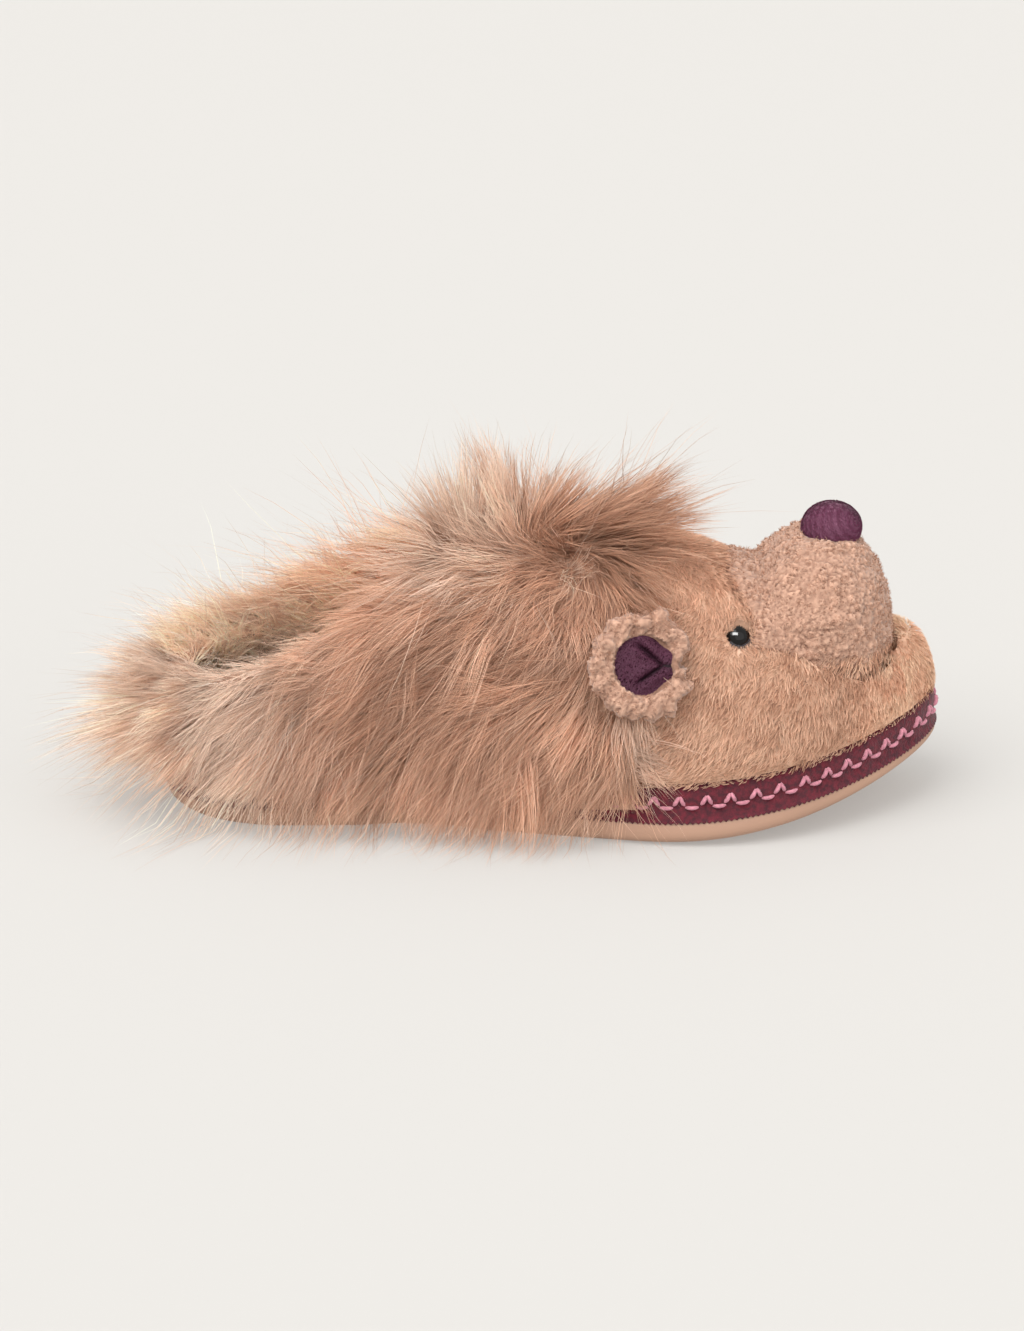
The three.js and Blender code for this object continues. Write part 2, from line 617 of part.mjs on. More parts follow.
function makeMane(ears) {
  const hem = (x) => HEM_CLEAR + FUR_DEPTH * (0.33 + 0.67 * (1 - smooth(0.12, 0.3, shareAt(x))));
  const depth = (s) => -FUR_DEPTH * (1 - (1 - FUR_AT_FACE) * smooth(FACE_LINE - 0.09, FACE_LINE, s));
  const surface = { side: depth, top: depth, end: -FUR_DEPTH, base: hem };
  const face = new THREE.BoxGeometry(SOLE_LENGTH, 3 * BALL_WIDTH, 3 * INSTEP_HEIGHT);
  face.translate(xAt(FACE_LINE) + SOLE_LENGTH / 2, 0, 0);
  const packed = lastSolid(surface)
    .subtract(aboveCollar(FUR_OVER_COLLAR, FUR_OVER_COLLAR * 0.8))
    .subtract(solid(face));
  const furry = wasm.Manifold.union([packed, ...maneLocks(surface)]);
  const within = lastSolid(skin(-GAP)).subtract(aboveCollar(GAP, GAP));
  const foot = solid(
    loft([atHeights(plan(-GAP), () => -SLACK), atHeights(plan(-GAP), (x) => bandTopAt(x) + GAP)], "ruled"),
  );
  const floor = new THREE.BoxGeometry(3 * SOLE_LENGTH, 3 * BALL_WIDTH, 40);
  floor.translate(0, 0, HEM_CLEAR - 20);
  const inside = lastSolid({ ...skin(UPPER_WALL), base: () => -SLACK });
  return mainBody(
    wasm.Manifold.difference([furry, within, foot, inside, solid(floor), ...ears]),
  );
}

const last = lastSolid(SURFACE);
const toePad = (s) => TOE_PAD * smooth(0.66, 0.76, s);
const cavity = lastSolid({
  side: (s) => UPPER_WALL + 0.4 * toePad(s),
  top: (s) => UPPER_WALL + toePad(s),
  end: UPPER_WALL,
  base: (x) => soleTopAt(x) - SLACK,
});
const pocketFloor = (grow) => lastSolid(skin(MUZZLE_DEPTH + grow));

const upper = mainBody(
  wasm.Manifold.difference([
    last,
    cavity,
    insoleSolid(GAP, 6),
    bandRoom(),
    aboveCollar(0, 0),
    muzzleSolid(GAP, MOUTH_GAP).subtract(pocketFloor(GAP)),
    eyeSolid(false, GAP),
    eyeSolid(true, GAP),
  ]),
);
const muzzle = mainBody(
  muzzleSolid(0, 0).subtract(pocketFloor(0)).subtract(noseSolid(GAP)),
);
const besideFace = lastSolid(skin(-GAP));
const ears = [false, true].map((inner) => mainBody(earSolid(inner, 0).subtract(besideFace)));
const pads = [false, true].map((inner) => mainBody(padSolid(inner).subtract(earSolid(inner, GAP))));
const mane = makeMane([earSolid(false, GAP), earSolid(true, GAP)]);

const finish = (color, roughness) => new THREE.MeshStandardMaterial({ color, roughness, metalness: 0 });
const plush = finish(0xcf9e80, 0.95);
const fur = finish(0xbf9375, 0.95);
const sherpa = finish(0xd7a88e, 1.0);
const velvet = finish(0x683b4f, 0.85);
const felt = finish(0x662931, 0.95);
const rubber = finish(0xcea795, 0.6);
const bead = finish(0x0c0b0c, 0.12);
const lining = finish(0xb4917d, 1.0);

const slipper = new THREE.Group();
slipper.add(
  meshOf("outsole", makeOutsole(), rubber),
  meshOf("insole", insoleSolid(0, 0), lining),
  meshOf("felt_band", bandSolid(), felt),
  meshOf("upper", upper, plush),
  meshOf("mane", mane, fur),
  meshOf("muzzle", muzzle, sherpa),
  meshOf("nose", noseSolid(0), velvet),
  meshOf("ear_outer_side", ears[0], sherpa),
  meshOf("ear_inner_side", ears[1], sherpa),
  meshOf("ear_velvet_outer_side", pads[0], velvet),
  meshOf("ear_velvet_inner_side", pads[1], velvet),
  meshOf("eye_outer_side", eyeSolid(false, 0), bead),
  meshOf("eye_inner_side", eyeSolid(true, 0), bead),
);

export default slipper;
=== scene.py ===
# Surfaces, light and camera for the lion slipper. Work is in millimetres until a mesh is made.
import math

import bmesh
import bpy
import numpy as np
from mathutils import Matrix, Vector
from mathutils.bvhtree import BVHTree
from mathutils.kdtree import KDTree


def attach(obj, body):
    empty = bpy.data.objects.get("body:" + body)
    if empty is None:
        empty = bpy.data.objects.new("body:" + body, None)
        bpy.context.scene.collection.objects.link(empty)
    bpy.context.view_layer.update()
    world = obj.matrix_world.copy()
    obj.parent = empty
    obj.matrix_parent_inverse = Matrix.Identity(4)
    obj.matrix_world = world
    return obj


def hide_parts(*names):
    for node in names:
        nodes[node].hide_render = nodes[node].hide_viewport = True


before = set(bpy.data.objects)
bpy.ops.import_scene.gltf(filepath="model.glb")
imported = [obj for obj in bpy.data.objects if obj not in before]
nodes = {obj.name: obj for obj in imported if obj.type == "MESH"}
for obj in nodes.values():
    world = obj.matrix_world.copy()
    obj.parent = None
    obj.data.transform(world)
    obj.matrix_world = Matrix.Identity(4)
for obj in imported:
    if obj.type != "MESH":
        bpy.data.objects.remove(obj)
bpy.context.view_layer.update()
random = np.random.default_rng(7)
uniform = random.uniform
MM = 0.001

# Sizes shared with the model
SOLE_LENGTH = 260
BALL_WIDTH = 98
HEEL_BACK = 34
OUTSOLE_THICK = 8.5
TOE_SPRING = 21
SPRING_START = 0.6
BAND_HEIGHT = 12.5
BAND_INSET = 0.7
UPPER_WALL = 5
UPPER_INSET = 1
LINING_DEPTH = -UPPER_WALL - 1
INSTEP_HEIGHT = 95
COLLAR_HEIGHT = 46
FACE_LINE = 0.612
BULGE = 0.035
GAP = 0.3
NOSE_RADIUS = 9.9
NOSE_FLAT = 0.84
EYE_RADIUS = 4.2
EYE_DOME = 3.4
EYE_SUNK = 1.4
EAR_RADIUS = 17.4
EAR_LIFT = 5.2
ARCH_LIFT = 1.2
EYE = {"at": 0.733, "angle": 50}
EAR = {"at": 0.613, "angle": 35, "tilt": 14}
NOSE = (-HEEL_BACK + 0.855 * SOLE_LENGTH, 0, 94.6)

OUTLINE = {
    "at": [0.0, 0.13, 0.28, 0.42, 0.56, 0.68, 0.8, 0.9, 1.0],
    "lateral": [0.345, 0.35, 0.35, 0.395, 0.465, 0.51, 0.475, 0.4, 0.3],
    "medial": [0.345, 0.35, 0.325, 0.315, 0.385, 0.465, 0.49, 0.48, 0.46],
}
SOLE_SIDE = {"at": [0.0, 0.15, 0.35, 0.7, 0.86, 1.0], "thick": [0.8, 0.92, 1.0, 1.0, 0.8, 0.5]}
CROWN = {
    "at": [0.0, 0.13, 0.25, 0.385, 0.515, 0.608, 0.688, 0.727, 0.808, 0.869, 0.931, 1.0],
    "height": [0.85, 0.9, 0.935, 0.965, 1.0, 0.988, 0.932, 0.885, 0.79, 0.69, 0.62, 0.585],
}
ARCH = {"at": [0.0, 0.7, 0.86, 1.0], "power": [2.3, 2.3, 2.9, 3.6]}
COLLAR = {
    "at": [0.0, 0.06, 0.13, 0.19, 0.255, 0.315, 0.352, 0.365],
    "rise": [0.0, 0.03, 0.12, 0.24, 0.41, 0.62, 0.86, 1.2],
}


def blend(a, b, share):
    """a where share is 0 and b where it is 1."""
    return a * (1 - share) + b * share


def noise(spread, shape):
    return random.normal(0, spread, shape)


def hill(x, width):
    return np.exp(-((x / width) ** 2))


def column(table, key, s):
    """Smooth value of one column of a table at shares s of the length."""
    at = np.array(table["at"])
    value = np.array(table[key])
    last = len(at) - 1
    before = np.maximum(np.arange(last + 1) - 1, 0)
    after = np.minimum(np.arange(last + 1) + 1, last)
    slope = (value[after] - value[before]) / (at[after] - at[before])
    s = np.clip(s, at[0], at[-1])
    i = np.clip(np.searchsorted(at, s, side="right") - 1, 0, last - 1)
    h = at[i + 1] - at[i]
    t = (s - at[i]) / h
    u = 1 - t
    ends = value[i] * (1 + 2 * t) * u * u + value[i + 1] * (3 - 2 * t) * t * t
    return ends + h * t * u * (slope[i] * u - slope[i + 1] * t)


def rounded(distance, length, power):
    t = 1 - np.clip(distance / length, 0, 1)
    return (1 - t**power) ** (1 / power)


def ramp(a, b, x):
    """0 below a, 1 above b, smooth between."""
    t = np.clip((x - a) / (b - a), 0, 1)
    return t * t * (3 - 2 * t)


def share_at(x):
    return (x + HEEL_BACK) / SOLE_LENGTH


def sole_top(x):
    s = share_at(x)
    t = np.maximum(0, (s - SPRING_START) / (1 - SPRING_START))
    return TOE_SPRING * t * t + OUTSOLE_THICK * column(SOLE_SIDE, "thick", s)


def collar_edge(s):
    return COLLAR_HEIGHT + (INSTEP_HEIGHT - COLLAR_HEIGHT) * column(COLLAR, "rise", s)


def plan(s):
    """Half the sole's width, and how far its middle lies towards the inner side."""
    lateral = column(OUTLINE, "lateral", s)
    medial = column(OUTLINE, "medial", s)
    return (medial + lateral) / 2 * BALL_WIDTH, (medial - lateral) / 2 * BALL_WIDTH


def plan_end(s):
    return rounded(s, 0.16, 2.0) * rounded(1 - s, 0.3, 2.1)


def crown_end(s):
    return rounded(s, 0.12, 3.0) * rounded(1 - s, 0.05, 2.6)


def last_point(s, angle, depth=0.0):
    """Points of the upper's outside: angle 0 at the outer foot, 90 at the crown, 180 at the inner."""
    inset = UPPER_INSET - depth
    x = -HEEL_BACK + inset + s * (SOLE_LENGTH - 2 * inset)
    wide, middle = plan(s)
    half = (wide - UPPER_INSET + depth) * plan_end(s)
    base = sole_top(x) + GAP
    rise = (INSTEP_HEIGHT * column(CROWN, "height", s) + depth - base) * crown_end(s)
    arch = 2 / column(ARCH, "power", s)
    turn = np.radians(angle)
    up = np.abs(np.sin(turn)) ** arch
    across = np.sign(np.cos(turn)) * np.abs(np.cos(turn)) ** arch
    y = middle - half * across * (1 + 4 * BULGE * up * (1 - up))
    return np.stack([x, y, base + rise * up], -1)


def unit(v):
    return v / np.maximum(np.linalg.norm(v, axis=-1, keepdims=True), 1e-9)


def last_normal(s, angle, depth=0.0):
    along = last_point(s + 0.004, angle, depth) - last_point(s - 0.004, angle, depth)
    over = last_point(s, angle + 1, depth) - last_point(s, angle - 1, depth)
    return unit(np.cross(along, over))


def push_out(points, clear):
    """Moves points that lie within clear of the upper's outside out to it, but for the heel's back."""
    x, y, z = points[..., 0], points[..., 1], points[..., 2]
    s = np.clip(share_at(x), 0.01, 0.99)
    wide, middle = plan(s)
    half = np.maximum(wide * plan_end(s), 1) + clear
    base = sole_top(x)
    rise = np.maximum((INSTEP_HEIGHT * column(CROWN, "height", s) - base) * crown_end(s), 4) + clear
    power = column(ARCH, "power", s)
    up = np.maximum(z - base, 0) / rise
    reach = (np.abs((y - middle) / half) ** power + up**power) ** (1 / power)
    buried = (reach < 1) & (reach > 0.05) & (x > 2 - HEEL_BACK)
    grow = np.where(buried, 1 / np.maximum(reach, 0.05), 1)
    return np.stack([x, middle + (y - middle) * grow, np.where(z > base, base + (z - base) * grow, z)], -1)


# Colours, as the eye reads them on a screen
def screen(r, g, b):
    c = np.array([r, g, b]) / 255
    return np.where(c <= 0.04045, c / 12.92, ((c + 0.055) / 1.055) ** 2.4)


FUR_LIGHT = screen(239, 218, 201)
FUR_MID = screen(218, 178, 152)
FUR_DARK = screen(178, 137, 113)
# Painted shade: the colour the hairs take at their roots, standing in for the shade deep in the fur
FUR_ROOT_SHADE = screen(146, 110, 90)
PLUSH = screen(237, 200, 173)
PLUSH_DARK = screen(209, 166, 139)
SHERPA = screen(196, 157, 135)
# Painted shade: the curly cloth's colour in the valleys between its knots
SHERPA_SHADE = screen(124, 90, 74)
VELVET = screen(104, 50, 76)
VELVET_LIGHT = screen(130, 78, 104)
VELVET_DARK = screen(62, 28, 46)
FELT = screen(101, 22, 38)
FELT_DARK = screen(66, 16, 29)
YARN = screen(202, 132, 148)
SOLE_BEIGE = screen(176, 139, 117)
LINING = screen(206, 178, 158)
# Painted shade: the lining's colour as it looks in the shade inside the slipper
LINING_SHADE = screen(116, 92, 80)
LASH = screen(46, 40, 44)


def placed(name, data):
    obj = bpy.data.objects.new(name, data)
    bpy.context.scene.collection.objects.link(obj)
    return obj


def paint(mesh, tints):
    """Keeps a colour for each point as the mesh's tint."""
    layer = mesh.color_attributes.new("tint", "FLOAT_COLOR", "POINT")
    rgba = np.concatenate([tints, np.ones((len(tints), 1))], -1)
    layer.data.foreach_set("color", rgba.astype(np.float32).ravel())


def mesh_object(name, points, faces, sizes):
    """A mesh from points in millimetres, flat lists of corners and the corner count of each face."""
    mesh = bpy.data.meshes.new(name)
    mesh.vertices.add(len(points))
    mesh.vertices.foreach_set("co", (points * MM).astype(np.float32).ravel())
    mesh.loops.add(len(faces))
    mesh.loops.foreach_set("vertex_index", faces.astype(np.int32))
    mesh.polygons.add(len(sizes))
    starts = np.concatenate([[0], np.cumsum(sizes)[:-1]])
    mesh.polygons.foreach_set("loop_start", starts.astype(np.int32))
    mesh.polygons.foreach_set("use_smooth", np.full(len(sizes), True))
    mesh.update(calc_edges=True)
    mesh.validate()
    return placed(name, mesh)


def quad_mesh(name, points, quads):
    return mesh_object(name, np.array(points, dtype=float), np.array(quads).ravel(), np.full(len(quads), 4))


def ribbons(name, paths, widths, sides, tints):
    """Tapered strips along paths (n, k, 3) that end in a point, each k - 2 quads and a triangle."""
    n, k, _ = paths.shape
    taper = np.linspace(1, 0, k)[None, :-1, None] ** 0.6
    offset = sides[:, None, :] * widths[:, None, None] * taper / 2
    left = paths[:, :-1] - offset
    right = paths[:, :-1] + offset
    pairs = np.stack([left, right], 2).reshape(n, 2 * (k - 1), 3)
    points = np.concatenate([pairs, paths[:, -1:]], 1)
    pair_tints = np.repeat(tints[:, :-1], 2, axis=1)
    colours = np.concatenate([pair_tints, tints[:, -1:]], 1)
    quads = np.array([[2 * j, 2 * j + 1, 2 * j + 3, 2 * j + 2] for j in range(k - 2)]).ravel()
    tip = np.array([2 * (k - 2), 2 * (k - 2) + 1, 2 * (k - 1)])
    pattern = np.concatenate([quads, tip])
    count = 2 * (k - 1) + 1
    faces = (pattern[None] + count * np.arange(n)[:, None]).ravel()
    sizes = np.tile(np.array([4] * (k - 2) + [3]), n)
    obj = mesh_object(name, points.reshape(-1, 3), faces, sizes)
    paint(obj.data, colours.reshape(-1, 3))
    return obj


# Materials
def material(name, roughness, specular, sheen=0.0):
    mat = bpy.data.materials.new(name)
    mat.use_nodes = True
    shader = mat.node_tree.nodes["Principled BSDF"]
    for socket, value in (
        ("Roughness", roughness), ("Specular IOR Level", specular),
        ("Sheen Weight", sheen), ("Sheen Roughness", 0.5),
    ):
        shader.inputs[socket].default_value = value
    return mat, mat.node_tree, shader


def add(tree, kind, **settings):
    """A new node of a material, with values for its sockets."""
    node = tree.nodes.new("ShaderNode" + kind)
    for socket, value in settings.items():
        node.inputs[socket].default_value = value
    return node


def link(tree, a, out, b, into):
    tree.links.new(a.outputs[out], b.inputs[into])


def grain(tree, shader, fine, bump):
    """A fine bump, with its scale and height in millimetres."""
    place = add(tree, "TexCoord")
    noise = add(tree, "TexNoise", Scale=1000 / fine, Detail=2.0)
    link(tree, place, "Object", noise, "Vector")
    relief = add(tree, "Bump", Strength=0.8, Distance=bump * MM)
    link(tree, noise, "Fac", relief, "Height")
    link(tree, relief, "Normal", shader, "Normal")
    return place


def tinted(name, roughness, specular, glow, sheen=0.0, rough=0.0):
    """A material that takes its colour from the mesh's tint and may let some light through."""
    mat, tree, shader = material(name, roughness, specular, sheen)
    tint = add(tree, "VertexColor")
    tint.layer_name = "tint"
    link(tree, tint, "Color", shader, "Base Color")
    if rough:
        grain(tree, shader, 0.6, rough)
    if glow:
        through = add(tree, "BsdfTranslucent")
        link(tree, tint, "Color", through, "Color")
        mix = add(tree, "MixShader", Fac=glow)
        link(tree, shader, 0, mix, 1)
        link(tree, through, 0, mix, 2)
        link(tree, mix, 0, tree.nodes["Material Output"], "Surface")
    return mat


def mottled(name, light, dark, scale, roughness, bump, fine, specular=0.25, sheen=0.0):
    """A cloth material: two colours in soft patches and a fine bump, with scales in millimetres."""
    mat, tree, shader = material(name, roughness, specular, sheen)
    place = grain(tree, shader, fine, bump)
    patches = add(tree, "TexNoise", Scale=1000 / scale, Detail=3.0)
    link(tree, place, "Object", patches, "Vector")
    colours = add(tree, "ValToRGB")
    for element, position, colour in zip(colours.color_ramp.elements, (0.35, 0.65), (dark, light)):
        element.position = position
        element.color = (*colour, 1)
    link(tree, patches, "Fac", colours, "Fac")
    link(tree, colours, "Color", shader, "Base Color")
    return mat


FUR = tinted("long_fur", 0.6, 0.1, 0.42)
PILE = tinted("short_pile", 0.7, 0.15, 0.35)
CURLS = tinted("curly_pile", 0.8, 0.12, 0.35)
NAP = tinted("velvet_nap", 0.7, 0.15, 0.3)
LASHES = tinted("lashes", 0.5, 0.3, 0.1)
# Painted shade: the fur's ground is darker than the fur, in the root shade colour, as the shade under the
# hairs
UNDERCOAT = mottled("undercoat", FUR_MID * 0.75, FUR_ROOT_SHADE, 6, 0.9, 0.8, 1.2)
PLUSH_BASE = mottled("plush_ground", PLUSH * 0.9, PLUSH_DARK, 7, 0.9, 0.5, 0.8)
KNOTS = tinted("knotted_pile", 0.95, 0.08, 0.0, 0.3, 0.5)
VELVET_BASE = mottled("velvet", VELVET_LIGHT, VELVET, 5, 0.85, 0.25, 0.6, sheen=0.3)
# Painted shade: the ear's velvet ground is a dark copy of the velvet, seen in the creases
SHADED_EAR_VELVET = mottled("ear_velvet", VELVET * 0.3, VELVET_DARK * 0.35, 4, 0.95, 0.25, 0.6, 0.05)
FELT_BASE = mottled("felt", FELT, FELT_DARK, 1.6, 0.95, 0.5, 0.7, sheen=0.2)
YARN_BASE = mottled("yarn", YARN, YARN * 0.75, 1.2, 0.85, 0.25, 0.4, sheen=0.2)
SOLE_BASE = mottled("sole", SOLE_BEIGE, SOLE_BEIGE * 0.94, 30, 0.55, 0.05, 0.5, specular=0.4)
LINING_BASE = mottled("lining_ground", LINING, LINING_SHADE * 1.5, 6, 0.95, 0.8, 1.0)
BEAD, _, bead_shader = material("bead", 0.06, 0.25)
bead_shader.inputs["Base Color"].default_value = (0.004, 0.003, 0.003, 1)


def dress(name, mat):
    """Gives a CAD node a new material."""
    materials = nodes[name].data.materials
    materials.clear()
    materials.append(mat)


def fit_on(obj, mat):
    obj.data.materials.append(mat)
    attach(obj, "root")


def surface_roots(count, density):
    """Shares and angles of roots on the upper's outside, spread by area times density."""
    rows = 260
    cols = 200
    edges = (1 - np.cos(np.linspace(0.02, math.pi - 0.02, rows + 1))) / 2
    angles = np.linspace(1, 179, cols + 1)
    s, a = np.meshgrid(edges, angles, indexing="ij")
    p = last_point(s, a)
    down = p[1:, :-1] - p[:-1, :-1]
    over = p[:-1, 1:] - p[:-1, :-1]
    area = np.linalg.norm(np.cross(down, over), axis=-1)
    sc = (s[1:, 1:] + s[:-1, :-1]) / 2
    ac = (a[1:, 1:] + a[:-1, :-1]) / 2
    weight = area * density(sc, last_point(sc, ac))
    flat = weight.ravel() / weight.sum()
    pick = random.choice(flat.size, count, p=flat)
    i, j = np.unravel_index(pick, weight.shape)
    u = random.random(count)
    v = random.random(count)
    s_root = edges[i] + (edges[i + 1] - edges[i]) * u
    a_root = angles[j] + (angles[j + 1] - angles[j]) * v
    return s_root, a_root


def turned(v, axis, angle):
    """v turned about unit axes by angles in radians."""
    c = np.cos(angle)[:, None]
    d = np.sin(angle)[:, None]
    return v * c + np.cross(axis, v) * d + axis * (v * axis).sum(-1, keepdims=True) * (1 - c)


def tree_of(centres):
    tree = KDTree(len(centres))
    for i, c in enumerate(centres):
        tree.insert(c, i)
    tree.balance()
    return tree


# Fur, pile and curly cloth
STEPS = np.linspace(0, 1, 5)
FUR_LENGTH = 37
HAIRS = {
    "mane": 60000, "rim": 10000, "wisps": 420, "face": 40000, "lip": 5000, "walls": 11000, "insole": 8000,
    "muzzle": 11000, "ear": 3400, "nose": 8000, "ear_nap": 4200, "lashes": 60, "lids": 420,
}
TUFTS = 1500
RIM_TUFTS = 300
LINING_FUR = 24  # how far the fur runs down the lining for each unit of w past the edge
THROAT = 0.355
CROWN_ANGLE = 62
HEEL_END = 12
GROUND_DEPTH = 2.4
MOUTH_LINE = 57
EYE_FRONT = 162
CLOTH_ANGLE = 46
CLOTH_END = 0.83
FAN_MIDDLE = np.array([-12.0, 0, 30])  # where the hairs at the heel's back spread from
LOWEST = np.array([-83.0, -74.5, -9.0])
HIGHEST = np.array([224.0, 71.5, 133.0])

# How the fur lies on the sides: place as shares of length and instep height, direction along and
# up, how far it leans out, and length as a share of the longest
FLOW = np.array([
    (0.02, 0.16, -0.6, -0.8, 0.35, 0.85),
    (0.03, 0.32, -0.9, -0.42, 0.4, 1.0),
    (0.03, 0.48, -1.0, -0.05, 0.3, 0.75),
    (0.13, 0.14, -0.14, -1.0, 0.22, 0.75),
    (0.13, 0.28, -0.35, -0.95, 0.26, 0.95),
    (0.13, 0.41, -0.88, -0.48, 0.3, 0.95),
    (0.13, 0.53, -1.0, -0.3, 0.14, 0.7),
    (0.25, 0.14, -0.08, -1.0, 0.2, 0.75),
    (0.25, 0.31, -0.22, -1.0, 0.24, 0.95),
    (0.25, 0.46, -0.78, -0.62, 0.3, 1.0),
    (0.25, 0.64, -1.0, -0.56, 0.12, 0.75),
    (0.36, 0.14, -0.08, -1.0, 0.2, 0.75),
    (0.36, 0.34, -0.28, -1.0, 0.24, 1.0),
    (0.36, 0.54, -0.8, -0.58, 0.3, 1.0),
    (0.36, 0.72, -1.0, -0.5, 0.22, 0.95),
    (0.36, 0.88, -1.0, -0.45, 0.3, 0.8),
    (0.48, 0.14, -0.12, -1.0, 0.2, 0.75),
    (0.48, 0.36, -0.36, -0.95, 0.26, 1.0),
    (0.48, 0.56, -0.72, -0.68, 0.3, 1.05),
    (0.48, 0.74, -0.95, -0.3, 0.34, 1.05),
    (0.48, 0.9, -1.0, -0.02, 0.5, 0.9),
    (0.57, 0.16, -0.18, -1.0, 0.18, 0.75),
    (0.57, 0.36, -0.34, -0.95, 0.22, 0.85),
    (0.56, 0.58, -0.72, -0.68, 0.28, 0.9),
    (0.56, 0.75, -0.85, -0.45, 0.34, 0.8),
    (0.57, 0.9, 0.45, -0.6, 0.4, 0.65),
    (0.605, 0.2, 0.1, -1.0, 0.14, 0.55),
    (0.605, 0.4, -0.1, -1.0, 0.14, 0.5),
    (0.605, 0.72, 0.6, -0.8, 0.22, 0.45),
    (0.605, 0.9, 0.95, -0.4, 0.28, 0.6),
])
FLOW_REACH = 9.5


def edge_angles(s, raised, depth):
    """Angle where the last, moved out by depth, comes up to the collar's edge plus raised."""
    angles = np.linspace(1, 90, 180)
    out = np.full(len(s), 90.0)
    for i, share in enumerate(s):
        if share < THROAT:
            heights = last_point(np.full(180, share), angles, depth)[:, 2]
            out[i] = np.interp(collar_edge(share) + raised, heights, angles)
    return out


def mane_density(s, p):
    over_edge = p[..., 2] < collar_edge(s) + 1.5
    above_band = p[..., 2] > sole_top(p[..., 0]) + BAND_HEIGHT - 2
    inside = (s < FACE_LINE - 0.012) & above_band & (over_edge | (s > THROAT))
    return inside * (1 + 0.5 * (s < 0.1) + 0.35 * (p[..., 2] < 34))


def side_flow(p):
    """Direction, lean and length of the fur from the table, for points on either side."""
    dx = (share_at(p[:, 0])[:, None] - FLOW[None, :, 0]) * SOLE_LENGTH
    dz = p[:, 2][:, None] - FLOW[None, :, 1] * INSTEP_HEIGHT
    weight = np.exp(-(dx * dx + dz * dz) / (2 * FLOW_REACH**2)) + 1e-9
    weight = weight / weight.sum(1, keepdims=True)
    mixed = weight @ FLOW[:, 2:]
    flow = np.stack([mixed[:, 0], 0 * mixed[:, 0], mixed[:, 1]], -1)
    return flow, mixed[:, 2], mixed[:, 3] * FUR_LENGTH


def along(flow, n):
    """A flow laid on a surface with normals n."""
    return unit(flow - n * (flow * n).sum(-1, keepdims=True))


def raised(flow, n, lift):
    """Directions along a flow on a surface with normals n, leaning out of it by lift."""
    return unit(along(flow, n) + n * lift[:, None])


def mane_start(p, n, chance, mix):
    """Direction and length of the mane's hairs at their roots. chance and mix set tufts apart."""
    flow, lift, length = side_flow(p)
    start = raised(flow, n, lift)
    x = p[:, 0]
    z = p[:, 2]
    behind = ramp(0.25, 0.8, -n[:, 0])
    fan = unit((p - FAN_MIDDLE) * np.array([1, 1, 1.2]) + 5 * mix[:, None] * np.array([0, 1, 1]))
    fan_long = FUR_LENGTH * (1.05 - 0.55 * ramp(30, 50, z) - 0.2 * (1 - ramp(10, 24, z)))
    start = blend(start, fan, behind[:, None])
    length = blend(length, fan_long, behind)
    crown = ramp(0.7, 0.92, n[:, 2])
    lean = -80 + 80 * ramp(50, 70, x) + 60 * ramp(80, 102, x) + 34 * (chance - 0.5)
    lean = np.radians(lean)
    top = np.stack([np.sin(lean), 0.3 * mix + 0.35 * n[:, 1], np.cos(lean)], -1)
    top_long = FUR_LENGTH * (0.78 + 0.16 * ramp(60, 72, x) + 0.16 * ramp(86, 104, x))
    start = unit(blend(start, unit(top), crown[:, None]))
    length = blend(length, top_long, crown)
    parting = np.exp(-(((x - 98) / 15) ** 2) - ((z - 83) / 11) ** 2)
    start = turned(start, n, 2.6 * parting * mix)
    return start, length * (1 - 0.25 * parting)


def mane_tint(p, n, mix):
    """Colour by place, light at the heel and the peak and darker in a belt, and by chance."""
    x = p[:, 0]
    z = p[:, 2]
    light = (1 - ramp(-10, 50, x)) * 0.9
    light = np.maximum(light, ramp(76, 92, z) * (1 - ramp(74, 98, x)) * 0.85)
    light = np.maximum(light, 0.2 * (1 - ramp(24, 40, z)))
    belt = hill(z - 0.45 * (x - 60) - 55, 17) * ramp(30, 60, x)
    fore = ramp(84, 102, x) * ramp(68, 84, z)
    dark = np.maximum(0.62 * belt, 0.5 * fore)
    t = np.clip(light + 0.45 * mix, 0, 1)[:, None]
    b = np.clip(dark - 0.5 * mix, 0, 1)[:, None]
    low_heel = 1 + 0.14 * (1 - ramp(-15, 40, x)) * (1 - ramp(26, 44, z))
    return blend(blend(FUR_MID, FUR_LIGHT, t) * low_heel[:, None], FUR_DARK, b)


def groups(p, count):
    """For each root, which of so many groups it is in."""
    tree = tree_of(p[random.choice(len(p), count, replace=False)])
    return np.array([tree.find(q)[1] for q in p])


def leaders(group):
    """For each hair, the first hair of its group."""
    _, first, member = np.unique(group, return_index=True, return_inverse=True)
    return first[member]


def follow(paths, group, pull):
    return paths + (paths[leaders(group)] - paths) * pull


def fur_paths(roots, start, length, droop):
    t = STEPS[None, :, None]
    fall = np.array([0, 0, -1.0])
    return roots[:, None] + length[:, None, None] * (start[:, None] * t + fall * droop[:, None, None] * t * t)


def within_box(paths):
    """Hairs shortened about their roots to the room that the fur may take."""
    root = paths[:, :1]
    reach = paths - root
    room = np.where(reach < 0, root - LOWEST, HIGHEST - root)
    room = room * uniform(0.85, 1, (len(paths), 1, 1))
    share = (room / np.maximum(np.abs(reach), 1e-6)).min((1, 2))
    return root + reach * np.clip(share, 0.1, 1)[:, None, None]


